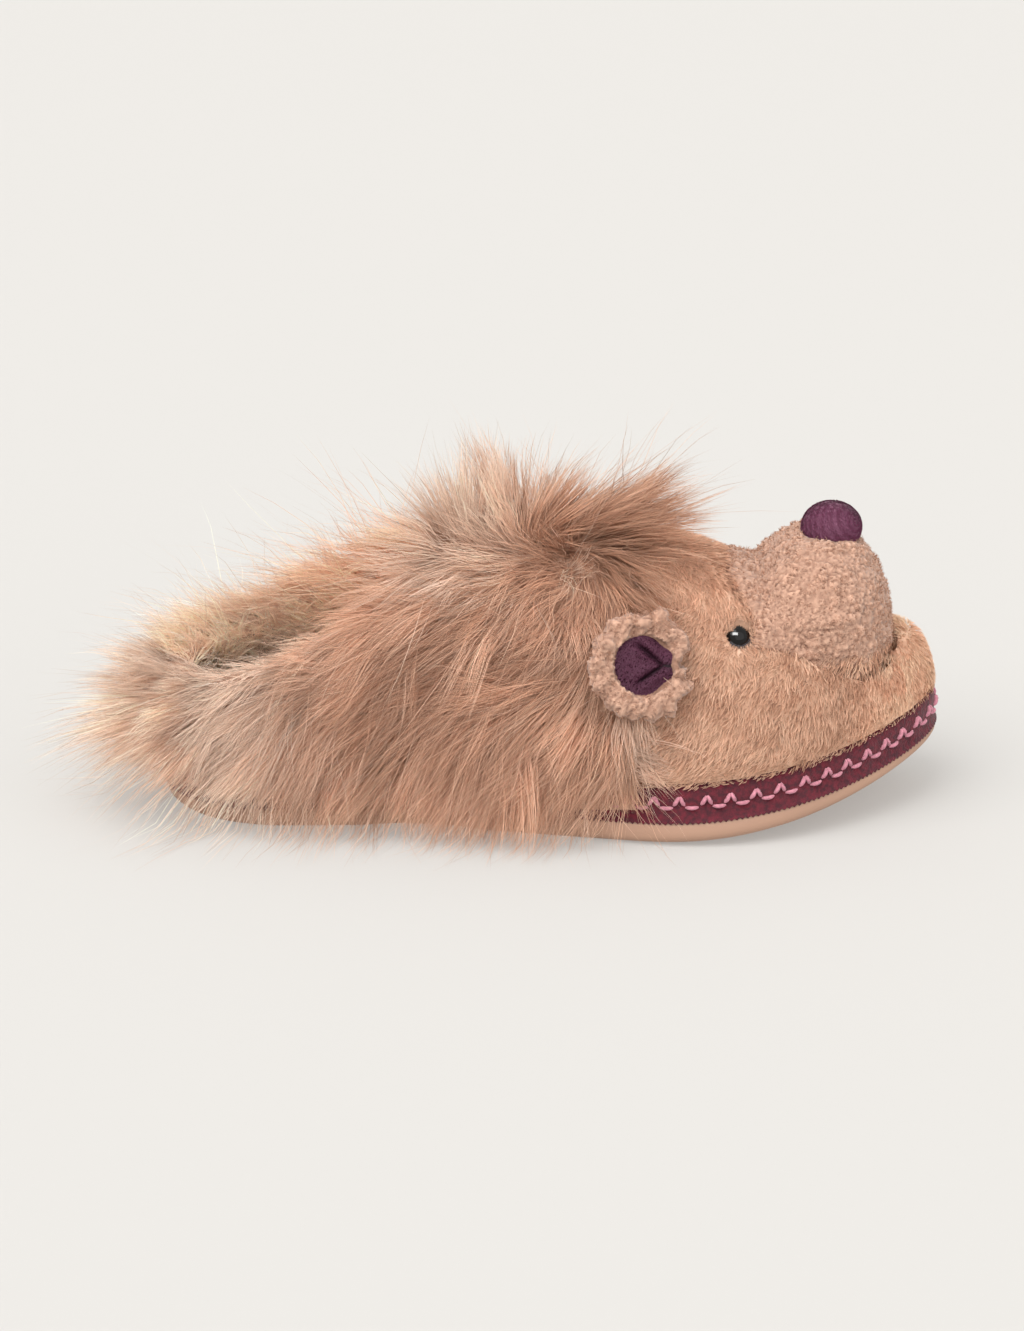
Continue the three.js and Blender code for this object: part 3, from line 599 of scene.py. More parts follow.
def cut_hem(paths, n, uneven):
    """Most hairs end a little above the floor, so that the sole's edge shows between them."""
    x = paths[:, 0, 0]
    heel = 7 * (1 - ramp(0, 55, x)) + 6.5 * (1 - ramp(-34, -6, x))
    corner = hill(x + 23, 10) * ramp(0.2, 0.6, np.abs(n[:, 1]))
    spread = np.abs(paths[:, -1, 1] - paths[:, 0, 1]) * ramp(-22, -8, x) * (1 - ramp(55, 80, x))
    lowest = 2.0 + heel + 11 * corner + 13.0 * ramp(88, 114, x) + 2.2 * uneven + 0.25 * spread
    root = paths[:, 0, 2]
    tip = paths[:, -1, 2]
    share = np.clip((root - lowest) / np.maximum(root - tip, 0.1), 0.3 - 0.18 * corner, 1)
    whole = (tip > lowest) | (random.random(len(paths)) < 0.13 - 0.1 * corner)
    share = np.where(whole, 1, share * uniform(0.85, 1.05, len(paths)))
    return paths[:, :1] + (paths - paths[:, :1]) * share[:, None, None]


def keep_off_ears(paths):
    """Hairs whose middle would run through an ear."""
    hit = np.zeros(len(paths), dtype=bool)
    for inner in (False, True):
        ahead, across, high = in_ear(paths, inner)
        hit |= ((np.hypot(ahead, across) < EAR_RADIUS * 0.78) & (np.abs(high) < 9)).any(1)
    return ~hit


def lay_fur(p, n, start, length, tint, sizes, pulls, loose_share, stray=1.2, bound=1.0, root=0.75, dark=0.12):
    """Hairs from roots p, gathered into tufts, strands and locks, with their own small changes."""
    count = len(p)
    turn = np.zeros(count)
    long = np.ones(count)
    lean = np.zeros(count)
    shade = np.ones(count)
    members = []
    for size, (turns, longs, leans, shades) in zip(sizes, GROUP_CHANGE):
        member = groups(p, size)
        members.append(member)
        turn += noise(turns, size)[member]
        long *= 1 + noise(longs, size)[member]
        lean += noise(leans, size)[member]
        shade *= 1 + noise(shades, size)[member]
    loose = random.random(count) < loose_share
    turn += noise(0.1, count) + loose * noise(0.45, count)
    long *= uniform(0.6, 1.08, count) * np.where(loose, stray, 1)
    lean += noise(0.07, count) + loose * random.normal(0.15, 0.25, count)
    start = unit(turned(start, n, turn) + n * np.maximum(lean, -0.1)[:, None])
    droop = 0.12 + 0.12 * random.random(count)
    paths = fur_paths(p, start, length * long, droop)
    free = np.where(loose, 0.1, bound)[:, None, None]
    for member, pull in zip(members, pulls):
        paths = follow(paths, member, (pull * STEPS**1.2)[None, :, None] * free)
    side = unit(np.cross(n, paths[:, 2] - paths[:, 0]))
    for member, amount, axis in ((members[1], 1.5, side), (members[0], 0.8, n)):
        phase = 6.3 * random.random(member.max() + 1)[member][:, None]
        wave = np.sin(STEPS[None, :] * 5.2 + phase) * STEPS[None, :] * amount
        paths = paths + axis[:, None] * wave[..., None]
    dark_tip = random.random(count) < dark + 0.4 * loose
    # Painted shade: each hair darkens towards its root, by the share root, for the shade deep among the hairs
    root_shade_share = (np.clip(1 - STEPS / 0.5, 0, 1) * root)[None, :, None]
    tip_share = (np.clip((STEPS - 0.45) / 0.55, 0, 1) * 0.8)[None, :, None]
    tint = tint * (shade * (1 + noise(0.08, count)))[:, None]
    tips = np.where(dark_tip[:, None, None], FUR_DARK * 0.7, tint[:, None] * 1.08)
    tints = blend(tint[:, None], FUR_ROOT_SHADE, root_shade_share)
    tints = np.clip(blend(tints, tips, tip_share), 0, 0.97)
    side = turned(side, unit(paths[:, 2] - paths[:, 0]), noise(0.5, count))
    widths = uniform(0.22, 0.38, count) * np.where(loose, 0.7, 1)
    return paths, widths, side, tints


# Spread of turn, length, lean and shade among the tufts, the strands and the locks
GROUP_CHANGE = ((0.2, 0.1, 0.08, 0.06), (0.24, 0.12, 0.12, 0.09), (0.22, 0.12, 0.12, 0.09))


def make_mane():
    s, a = surface_roots(HAIRS["mane"], mane_density)
    n = last_normal(s, a)
    p = last_point(s, a) + n * 1.2
    member = groups(p, TUFTS)
    chance = np.clip(random.random(TUFTS)[member] + noise(0.08, len(p)), 0, 1)
    mix = noise(0.35, TUFTS)[member]
    start, length = mane_start(p, n, chance, mix)
    tint = mane_tint(p, n, mix)
    bound = 1 - 0.45 * ramp(0.6, 0.9, n[:, 2])
    dark = 0.12 + 0.25 * (1 - ramp(-30, 5, p[:, 0]))
    paths, widths, side, tints = lay_fur(
        p, n, start, length, tint, (10000, 2600, 600), (0.45, 0.4, 0.2), 0.12, 1.35, bound, 0.75, dark
    )
    paths = cut_hem(paths, n, mix / 0.35)
    clear = 1.4 + 2.6 * random.random((len(p), 1))
    paths[:, 1:] = push_out(paths[:, 1:], clear)
    paths = within_box(rest_on_floor(paths, n))
    free = keep_off_ears(paths)
    ahead = p[:, 0] >= HEEL_END
    parts = {
        "fur_heel": ~ahead,
        "fur_outer_side": ahead & (a < CROWN_ANGLE),
        "fur_inner_side": ahead & (a > 180 - CROWN_ANGLE),
        "fur_crown": ahead & (np.abs(a - 90) <= 90 - CROWN_ANGLE),
    }
    for name, part in parts.items():
        chosen = part & free
        fit_on(ribbons(name, *(values[chosen] for values in (paths, widths, side, tints))), FUR)


def rest_on_floor(paths, n):
    """Tips that would go through the floor lie down on it and spread outwards."""
    floor = 0.4 + 1.4 * random.random((len(paths), 1))
    under = np.maximum(floor - paths[..., 2], 0)
    out = unit(n * np.array([1, 1, 0]) + np.array([-0.1, 0, 0]))
    paths = paths.copy()
    paths[..., 2] = np.maximum(paths[..., 2], floor)
    return paths + out[:, None] * under[..., None] * 0.85


def rim_frame(s, inner, w):
    """Points across the collar's edge and their normals: w runs from the fur's outside, 0, to the
    lining's edge, 1, and on down the lining."""
    above = 2.0 if inner else 0.2
    angle_out = edge_angles(s, above, 2.0)
    angle_in = edge_angles(s, above - 1, LINING_DEPTH)
    if inner:
        angle_out = 180 - angle_out
        angle_in = 180 - angle_in
    over = np.minimum(w, 1)
    outer = last_point(s, angle_out, 2.0)
    lining = last_point(s, angle_in, LINING_DEPTH)
    p = blend(outer, lining, over[:, None])
    p[:, 2] += 1.8 * np.sin(math.pi * over) - LINING_FUR * (w - over)
    away = last_normal(s, angle_out, 2.0)
    n = away * (1 - 1.5 * over[:, None]) + np.array([0, 0, 1.3]) * np.sin(math.pi * over)[:, None]
    return p, unit(n)


def make_rim():
    """Fur on the collar's edge: it leans back on the outer side and stands up on the inner side."""
    names = {False: "fur_rim_outer", True: "fur_rim_inner"}
    for inner, name in names.items():
        count = HAIRS["rim"] * (3 if inner else 1) // 4
        s = 0.0075 + (THROAT - 0.012) * random.random(count) ** 1.25
        w = random.random(count) * (1.8 if inner else 0.9)
        p, n = rim_frame(s, inner, w)
        heel = 1 - ramp(-34, -8, p[:, 0])
        slope = (collar_edge(s + 0.01) - collar_edge(s - 0.01)) / (0.02 * SOLE_LENGTH)
        if inner:
            flow = np.stack([0 * s - 0.7, 0 * s + 0.1, 1 - 0.35 * heel], -1)
            start = raised(flow, n, 0.2 + 0.3 * heel)
            length = FUR_LENGTH * (0.62 - 0.1 * heel + 0.22 * ramp(0, 40, p[:, 0])) * (1 - 0.2 * (w > 1))
        else:
            flow = np.stack([0 * s - 1, 0 * s, 0.25 * heel - slope], -1)
            start = raised(flow, n, 0.05 + 0.3 * heel)
            length = FUR_LENGTH * (0.45 - 0.05 * heel)
        mix = noise(0.3, RIM_TUFTS)[groups(p, RIM_TUFTS)]
        # Painted light: the inner rim's fur is lighter, and its roots less dark, than the mane's, to lighten
        # it in the shade of the collar's opening
        tint = mane_tint(p, n, mix + 0.4 * inner) * (np.array([1.3, 1.24, 1.19]) if inner else 1)
        sizes = (count // 5, count // 18, count // 80)
        stray = 1.7 if inner else 1.2
        root, dark = (0.15, 0.4) if inner else (0.6, 0.12)
        fur = lay_fur(p, n, start, length, tint, sizes, (0.4, 0.3, 0.2), 0.14, stray, 1.0, root, dark)
        fit_on(ribbons(name, within_box(fur[0]), *fur[1:]), FUR)


def make_wisps():
    """Loose hairs that fall from the mane over the band and the face's edge, below each ear."""
    count = HAIRS["wisps"]
    for inner, name in ((False, "wisps_outer"), (True, "wisps_inner")):
        s = uniform(0.58, 0.606, count)
        a = uniform(8, 34, count)
        low = 1 - ramp(9, 22, a)
        a = 180 - a if inner else a
        n = last_normal(s, a)
        p = last_point(s, a) + n * 0.8
        ahead = uniform(0.05, 0.6, count) + 0.55 * low
        flow = np.stack([ahead, 0 * s, uniform(-0.95, -0.6, count) + 0.3 * low], -1)
        length = uniform(13, 24, count)
        tint = np.tile((FUR_MID + FUR_LIGHT) / 2, (count, 1))
        start = raised(flow, n, np.full(count, 0.12))
        fur = lay_fur(p, n, start, length, tint, (90, 36, 12), (0.4, 0.35, 0.2), 0.2)
        fur[0][:, 1:] = push_out(fur[0][:, 1:], 1.0 + 1.8 * random.random((count, 1)))
        fur[0][:] = rest_on_floor(fur[0], n)
        fit_on(ribbons(name, *fur), FUR)


def make_undercoat():
    """The fur's ground: a skin over the upper from heel to face that turns over the collar's edge."""
    rows = 96
    cols = 44
    turnover = 8
    s = 0.0068 + (FACE_LINE - 0.016) * (1 - np.cos(np.linspace(0, math.pi, rows))) / 2
    depth = GROUND_DEPTH * (1 - 0.85 * ramp(FACE_LINE - 0.06, FACE_LINE - 0.012, s))
    top = edge_angles(s, 1.5, GROUND_DEPTH)
    lining = edge_angles(s, 0.5, LINING_DEPTH)
    verts = []
    faces = []
    for inner in (False, True):
        start = len(verts)
        for i, share in enumerate(s):
            x = share * SOLE_LENGTH - HEEL_BACK
            turns = np.arange(1, 91.0)
            heights = last_point(np.full(90, share), turns, depth[i])[:, 2]
            low_z = sole_top(x) + BAND_HEIGHT * (1 - 0.7 * ramp(5, 30, x))
            low = min(np.interp(low_z, heights, turns), top[i] - 1)
            angles = np.linspace(low, top[i], cols)
            outer = last_point(np.full(cols, share), angles, depth[i])
            fold = last_point(np.full(1, share), np.array([lining[i]]), LINING_DEPTH)[0]
            steps = np.linspace(0, 1, turnover + 1)[1:, None]
            over = blend(outer[-1], fold, steps)
            if share < THROAT:
                over[:, 2] += 1.6 * np.sin(math.pi * steps[:, 0])
                over[-1, 2] -= 9
            row = np.concatenate([outer, over])
            if inner:
                row[:, 1] = 2 * plan(share)[1] - row[:, 1]
            verts.extend(row)
        wide = cols + turnover
        for i in range(rows - 1):
            for j in range(wide - 1):
                a = start + i * wide + j
                quad = [a, a + 1, a + wide + 1, a + wide]
                faces.append(quad if inner else quad[::-1])
    skin = quad_mesh("undercoat", verts, faces)
    fit_on(skin, UNDERCOAT)
    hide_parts("mane")


def skin_frame(at, angle, inner):
    """A point of the upper's outside and its axes: ahead, across and out."""
    angle = np.array([180 - angle if inner else angle])
    s = np.array([at])
    n = last_normal(s, angle)[0]
    ahead = unit(np.array([1.0, 0, 0]) - n * n[0])
    return last_point(s, angle)[0], ahead, np.cross(n, ahead), n


def eye_frame(inner):
    return skin_frame(EYE["at"], EYE["angle"], inner)


def ear_frame(inner):
    """As for the eye, but lifted off and tilted forwards."""
    place, forward, across, n = skin_frame(EAR["at"], EAR["angle"], inner)
    lean = math.radians(EAR["tilt"])
    ahead = forward * math.cos(lean) - n * math.sin(lean)
    out = forward * math.sin(lean) + n * math.cos(lean)
    return place + n * EAR_LIFT, ahead, across, out


def in_ear(points, inner):
    """Points as distances ahead of, across and out from an ear's middle."""
    place, ahead, across, out = ear_frame(inner)
    local = points - place
    return local @ ahead, local @ across, local @ out


def mesh_roots(obj, count, keep):
    """Points spread over an object's mesh by area times keep, and their normals."""
    mesh = obj.data
    mesh.calc_loop_triangles()
    tri = np.zeros(len(mesh.loop_triangles) * 3, dtype=np.int32)
    mesh.loop_triangles.foreach_get("vertices", tri)
    tri = tri.reshape(-1, 3)
    co = read_mesh(mesh, "co") / MM
    a, b, c = co[tri[:, 0]], co[tri[:, 1]], co[tri[:, 2]]
    cross = np.cross(b - a, c - a)
    n = unit(cross)
    weight = np.linalg.norm(cross, axis=-1) / 2 * keep((a + b + c) / 3, n)
    pick = random.choice(len(tri), count, p=weight / weight.sum())
    u = random.random((count, 1))
    v = random.random((count, 1))
    flip = (u + v) > 1
    u = np.where(flip, 1 - u, u)
    v = np.where(flip, 1 - v, v)
    p = a[pick] + (b[pick] - a[pick]) * u + (c[pick] - a[pick]) * v
    return p, n[pick]


KNOT_SPACING = 2.5
KNOT_HEIGHT = 1.35
VOXEL = 0.75


def knot_gaps(centres, points):
    """How much farther off the second nearest knot is than the nearest, and which that is."""
    tree = tree_of(centres)
    found = [tree.find_n(p, 2) for p in points]
    return np.array([b[2] - a[2] for a, b in found]), np.array([a[1] for a, _ in found])


def read_mesh(mesh, what):
    values = np.zeros(len(mesh.vertices) * 3, dtype=np.float32)
    mesh.vertices.foreach_get(what, values)
    return values.reshape(-1, 3)


def knotted(name, meshes, coverage, uneven):
    """A stuffed piece grown from closed meshes, gathered into small knots where coverage is 1, with
    slow swells there of up to uneven millimetres."""
    joined = bmesh.new()
    for mesh in meshes:
        joined.from_mesh(mesh)
    rough = bpy.data.meshes.new(name)
    joined.to_mesh(rough)
    joined.free()
    obj = placed(name, rough)
    remesh = obj.modifiers.new("remesh", "REMESH")
    remesh.mode = "VOXEL"
    remesh.voxel_size = VOXEL * MM
    remesh.use_smooth_shade = True
    obj.modifiers.new("soften", "SMOOTH").iterations = 7
    fine = bpy.data.meshes.new_from_object(obj.evaluated_get(bpy.context.evaluated_depsgraph_get()))
    obj.modifiers.clear()
    obj.data = fine
    bpy.data.meshes.remove(rough)
    p = read_mesh(fine, "co").astype(float) / MM
    n = read_mesh(fine, "normal").astype(float)
    count = int(len(p) * VOXEL**2 / (0.87 * KNOT_SPACING**2))
    centres = p[random.choice(len(p), count, replace=False)]
    gap, knot = knot_gaps(centres, p)
    share = coverage(p, n)
    dome = np.sqrt(np.clip(gap / 1.7, 0, 1))
    waves = np.sin(p @ noise(0.5, (3, 8)) + uniform(0, 6.3, 8)).mean(-1)
    p = p + n * ((KNOT_HEIGHT * dome + uneven * waves) * share)[:, None]
    fine.vertices.foreach_set("co", (p * MM).astype(np.float32).ravel())
    fine.update()
    # Painted shade: darker in the valleys between knots and where coverage is 0, under the mouth line and in
    # the ear's dish and notch
    shade = (np.clip(0.15 + 1.1 * dome, 0, 1) * (0.3 + 0.7 * share))[:, None]
    tint = blend(SHERPA_SHADE, SHERPA, shade) * (1 + noise(0.05, count))[knot][:, None]
    paint(fine, np.clip(tint, 0, 1))
    fit_on(obj, KNOTS)
    return obj, centres


def curly(name, obj, centres, count, keep):
    """Short curled fibres that stand on the knots."""
    p, n = mesh_roots(obj, count, keep)
    gap, knot = knot_gaps(centres, p)
    high = gap > 0.45
    p, n, knot = p[high], n[high], knot[high]
    count = len(p)
    p = p - n * 0.3
    t = np.linspace(0, 1, 5)[None, :, None]
    axis = unit(n + 0.5 * unit(noise(1, (count, 3))))
    u = unit(np.cross(axis, noise(1, (count, 3))))
    v = np.cross(axis, u)
    turn = 2 * math.pi * (t * uniform(0.5, 0.9, (count, 1, 1)) + random.random((count, 1, 1)))
    r = uniform(0.5, 1.0, (count, 1, 1)) * t
    circle = (u[:, None] * np.cos(turn) + v[:, None] * np.sin(turn)) * r
    toward = (centres[knot] - p)[:, None] * 0.4 * t
    paths = p[:, None] + axis[:, None] * 1.5 * t**0.7 + circle + toward
    grey = (1 + noise(0.08, count))[:, None, None]
    # Painted shade: each curl darker at its base and lighter at its tip
    tints = np.clip(SHERPA * grey * (0.8 + 0.22 * t), 0, 1)
    side = unit(np.cross(axis, noise(1, (count, 3))))
    pile = ribbons(name, paths, uniform(0.35, 0.55, count), side, tints)
    fit_on(pile, CURLS)


def short_pile(name, p, n, flow, long, width, light, dark, mat, lift, patch, root=0.66):
    """Short fibres that lie along a flow, in patches of about so many fibres and of two colours."""
    count = len(p)
    group = groups(p, max(8, count // patch))
    patches = group.max() + 1
    mix = np.clip(0.5 + noise(0.3, patches), 0, 1)[group]
    lean = noise(0.25, patches)[group]
    tangent = turned(along(flow, n), n, lean + noise(0.25, count))
    t = np.linspace(0, 1, 3)[None, :, None]
    length = (long * uniform(0.7, 1.1, count))[:, None, None]
    rise = n[:, None] * lift * (t - 0.45 * t * t)
    paths = p[:, None] + length * (tangent[:, None] * t * 0.85 + rise)
    # Painted shade and light: each fibre darker at its root, by the share root, and a little lighter at its
    # tip
    shade = np.array([root, 0.9, 1.06])[None, :, None] * (1 + noise(0.08, (count, 1, 1)))
    tints = np.clip(blend(dark, light, mix[:, None])[:, None] * shade, 0, 1)
    lay_fibres(name, paths, n, tangent, 0.5, width, tints, mat)


def lay_fibres(name, paths, n, tangent, roll, width, tints, mat):
    """Short fibres, each rolled a little about its tangent and with a width of its own."""
    side = turned(unit(np.cross(n, tangent)), tangent, noise(roll, len(n)))
    fibres = ribbons(name, paths, width * uniform(0.7, 1.2, len(n)), side, tints)
    fit_on(fibres, mat)


def inside_of(obj):
    """A test for points inside, or within clear of, a closed node."""
    co = [v.co / MM for v in obj.data.vertices]
    tree = BVHTree.FromPolygons(co, [tuple(f.vertices) for f in obj.data.polygons])

    def test(points, clear):
        out = np.zeros(len(points), dtype=bool)
        for i, p in enumerate(points):
            place, normal, _, distance = tree.find_nearest(Vector(p))
            within = (Vector(p) - place).dot(normal) < 0 and distance < 8
            out[i] = distance < clear or within
        return out

    return test


def make_face():
    """Short plush over the face. It lies back and down, parts under the eyes, and lies level and
    shorter at the band."""

    def density(s, p):
        return (s > FACE_LINE - 0.03) * 1.0

    s, a = surface_roots(HAIRS["face"], density)
    p = last_point(s, a)
    n = last_normal(s, a)
    keep = p[:, 2] > sole_top(p[:, 0]) + BAND_HEIGHT - 0.6
    for inner in (False, True):
        place = eye_frame(inner)[0]
        clear = EYE_RADIUS * np.where(p[:, 2] > place[2], 0.66, 0.86)
        keep &= np.linalg.norm(p - place, axis=-1) > clear
    over = 90 - np.abs(a - 90)
    keep &= ~((s > cloth_start(over) + 0.008) & (s < CLOTH_END) & (over > CLOTH_ANGLE + 2))
    p, n = p[keep], n[keep]
    covered = inside_of(nodes["muzzle"])(p, 0.5)
    p, n = p[~covered], n[~covered]
    x = p[:, 0]
    z = p[:, 2]
    low = 1 - ramp(22, 50, z)
    flow = np.stack([-0.45 - 0.35 * low + 0.3 * ramp(60, 85, z), 0 * x, -0.85 + 0 * x], -1)
    length = 4.6 * (1 - 0.25 * ramp(185, 215, x))
    edge = 1 - ramp(0, 7, z - sole_top(x) - BAND_HEIGHT)
    flow = blend(flow, np.array([-1, 0, -0.15]), edge[:, None])
    length = length * (1 - 0.5 * edge)
    for inner in (False, True):
        away = p - eye_frame(inner)[0]
        near = hill(np.linalg.norm(away, axis=-1), 8) * (1 - ramp(-2, 3, away[:, 2]))
        flow = blend(flow, unit(away), near[:, None])
        length = length * (1 - 0.45 * near)
    bright = (1 + 0.1 * ramp(62, 84, z) + 0.25 * ramp(188, 212, x))[:, None]
    light = np.minimum(PLUSH * bright, 0.95)
    short_pile("face_pile", p, n, flow, length, 0.42, light, PLUSH_DARK * bright, PILE, 0.75, 45)


TOOTH_PITCH = 1.8
TOOTH_DEPTH = 1.0


def outline_ring(count):
    """Points of the sole's outline, finer than the model's, and the directions inward."""
    turns = full_turn(count)
    s = (1 - np.cos(turns)) / 2
    wide, middle = plan(s)
    side = np.where(np.sin(turns) < 0, 1, -1)
    ring = np.stack([s * SOLE_LENGTH - HEEL_BACK, middle + side * wide * plan_end(s)], -1)
    tangent = unit(np.roll(ring, -1, axis=0) - np.roll(ring, 1, axis=0))
    inward = np.stack([-tangent[:, 1], tangent[:, 0]], -1)
    return ring, inward


def underside(x):
    s = share_at(x)
    spring = TOE_SPRING * np.maximum(0, (s - SPRING_START) / (1 - SPRING_START)) ** 2
    arch = ramp(0.24, 0.32, s) * (1 - ramp(0.36, 0.438, s))
    back = np.maximum(0, (0.07 - s) / 0.07)
    return spring + ARCH_LIFT * arch + 1.8 * back * back


def ring_mesh(name, rings, loop):
    """A skin through closed rings. loop joins the last to the first, else both ends get a cap."""
    count = len(rings[0])
    faces = []
    i = np.arange(count)
    j = (i + 1) % count
    pairs = len(rings) if loop else len(rings) - 1
    for k in range(pairs):
        a = k * count
        b = (k + 1) % len(rings) * count
        faces.append(np.stack([a + i, a + j, b + j, b + i], -1).ravel())
    sizes = [4] * (pairs * count)
    if not loop:
        half = np.arange(1, count // 2)
        for a, flip in ((0, True), ((len(rings) - 1) * count, False)):
            quads = np.stack([a + half - 1, a + half, a + count - half, a + (count - half + 1) % count], -1)
            quads = quads[:, ::-1] if flip else quads
            faces.append(quads.ravel())
            sizes += [4] * len(quads)
    return mesh_object(name, np.concatenate(rings), np.concatenate(faces), np.array(sizes))


def make_sole():
    """The outsole, its edges rounded."""
    edge = [(9, 0), (5, 0), (3.2, 0.05), (1.6, 0.14), (0.5, 0.28), (0.1, 0.42), (0.0, 0.6),
            (0.0, 0.8), (0.1, 0.9), (0.45, 0.97), (1.1, 1.0), (6, 1.0)]
    ring, inward = outline_ring(400)
    rings = []
    for inset, height in edge:
        flat = ring + inward * inset
        low = underside(flat[:, 0])
        z = low + height * (sole_top(flat[:, 0]) - low)
        rings.append(np.column_stack([flat, z]))
    sole = ring_mesh("sole", rings, False)
    fit_on(sole, SOLE_BASE)
    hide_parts("outsole")


def make_band():
    """The felt band: a soft face, and a lower edge cut into small teeth that lies over the sole's."""
    # Distance in from the sole's outline and height above the sole's top, round the section
    section = [(-0.4, -0.95), (-0.3, -0.1), (0.5, 1.1), (0.62, 4), (0.6, 8), (0.95, 11.4), (1.6, 12.8),
               (3.3, 12.8), (3.3, 0.3), (0.6, 0.1), (-0.02, -0.9)]
    ring, inward = outline_ring(2000)
    run = np.cumsum(np.linalg.norm(np.diff(ring, axis=0, append=ring[:1]), axis=-1))
    tooth = np.abs((run / TOOTH_PITCH) % 1 - 0.5) * 2
    ripple = 0.12 * np.sin(run / 5.3) + 0.08 * np.sin(run / 2.1 + 1)
    rings = []
    for inset, height in section:
        face = 1 < height < 12
        flat = ring + inward * (inset + ripple * face)[:, None]
        z = sole_top(flat[:, 0]) + height + TOOTH_DEPTH * tooth * (height < -0.5)
        rings.append(np.column_stack([flat, z]))
    band = ring_mesh("felt", rings, True)
    fit_on(band, FELT_BASE)
    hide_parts("felt_band")


def make_embroidery():
    """A row of small arrows of thick yarn round the band, with a dash between each two."""
    ring, inward = outline_ring(1440)
    ring = ring + inward * BAND_INSET
    step = np.linalg.norm(np.diff(ring, axis=0, append=ring[:1]), axis=-1)
    run = np.concatenate([[0], np.cumsum(step)])
    track = np.column_stack([ring, -inward])
    track = np.concatenate([track, track[:1]])
    pitch = run[-1] / round(run[-1] / 8.4)

    def at(distance, height, proud):
        px, py, ox, oy = [np.interp(distance % run[-1], run, values) for values in track.T]
        z = sole_top(px) + GAP + height * BAND_HEIGHT
        return np.array([px + ox * proud, py + oy * proud, z])

    verts = []
    faces = []

    def strand(points, radius):
        sides = 6
        points = np.array(points)
        start = len(verts)
        direction = unit(np.gradient(points, axis=0))
        for i, (q, d) in enumerate(zip(points, direction)):
            u = unit(np.cross(d, [0, 0, 1.0]))
            v = np.cross(u, d)
            r = radius * (0.55 if i in (0, len(points) - 1) else 1)
            for k in range(sides):
                w = 2 * math.pi * k / sides
                verts.append(q + r * (u * math.cos(w) + v * math.sin(w)))
        for i in range(len(points) - 1):
            for k in range(sides):
                a = start + i * sides + k
                b = start + i * sides + (k + 1) % sides
                faces.append([a, b, b + sides, a + sides])

    def stitch(d0, h0, d1, h1, radius):
        t = np.linspace(0, 1, 5)
        proud = 0.1 + 0.75 * np.sin(math.pi * t)
        strand([at(d0 + (d1 - d0) * k, h0 + (h1 - h0) * k, q) for k, q in zip(t, proud)], radius)

    for i in range(round(run[-1] / pitch)):
        slip = noise(0.2, 6)
        d = (i + 0.5) * pitch + slip[0]
        rise = 0.01 * slip[1:]
        stitch(d - 1.7, 0.44 + rise[0], d - 0.1, 0.67 + rise[1], 0.72)
        stitch(d + 1.8, 0.44 + rise[2], d + 0.3, 0.68 + rise[1], 0.72)
        stitch(d + pitch / 2 - 2.1, 0.38 + rise[3], d + pitch / 2 + 2.1, 0.37 + rise[4], 0.66)
    yarn = quad_mesh("embroidery", verts, faces)
    fit_on(yarn, YARN_BASE)


def make_nose():
    """A velvet ball, its nap brushed round in a swirl of lighter and darker streaks."""
    rings = []
    for polar in np.linspace(0.02, math.pi - 0.02, 30):
        turn = full_turn(56)
        flat = NOSE_RADIUS * math.sin(polar)
        up = np.full(56, -NOSE_RADIUS * NOSE_FLAT * math.cos(polar))
        rings.append(np.stack([flat * np.cos(turn), flat * np.sin(turn), up], -1) + np.array(NOSE))
    ball = ring_mesh("nose_ball", rings, False)
    fit_on(ball, VELVET_BASE)
    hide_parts("nose")
    n = unit(noise(1, (HAIRS["nose"], 3)))
    n = n[n[:, 2] > -0.75]
    p = np.array(NOSE) + n * NOSE_RADIUS * np.array([1, 1, NOSE_FLAT])
    pole = unit(np.array([0.75, -0.55, 0.35]))
    round_pole = np.arccos(np.clip(n @ pole, -1, 1))
    flow = unit(np.cross(np.tile(pole, (len(n), 1)), n)) + 0.4 * unit(pole - n)
    streak = np.sin(round_pole * 25 + 2.2 * np.sin(round_pole * 3 + n[:, 2] * 2)) * 0.5 + 0.5
    brushed(p, n, flow, streak, "nose_nap", 1.5, 0.36)


def brushed(p, n, flow, streak, name, long, width, shade_tone=1.0):
    """Velvet nap: short fibres that lie along a flow, in light and dark streaks."""
    count = len(p)
    tangent = turned(along(flow, n), n, noise(0.25, count))
    t = np.linspace(0, 1, 3)[None, :, None]
    reach = (long * uniform(0.7, 1.1, count))[:, None, None]
    paths = p[:, None] + reach * (tangent[:, None] * t + n[:, None] * 0.34 * t * (1.6 - t))
    mix = np.clip(0.75 * streak + noise(0.15, count), 0, 1)[:, None]
    # shade_tone darkens the nap for painted shade; each fibre is also darker at its root, painted shade
    tint = blend(VELVET, VELVET_LIGHT, mix) * np.reshape(shade_tone, (-1, 1))
    shade = np.array([0.85, 1.0, 1.1])[None, :, None]
    lay_fibres(name, paths, n, tangent, 0.35, width, tint[:, None] * shade, NAP)


def full_turn(count):
    return np.linspace(0, 2 * math.pi, count, endpoint=False)


def round_axes(turn, ahead, across):
    return np.outer(np.cos(turn), ahead) + np.outer(np.sin(turn), across)


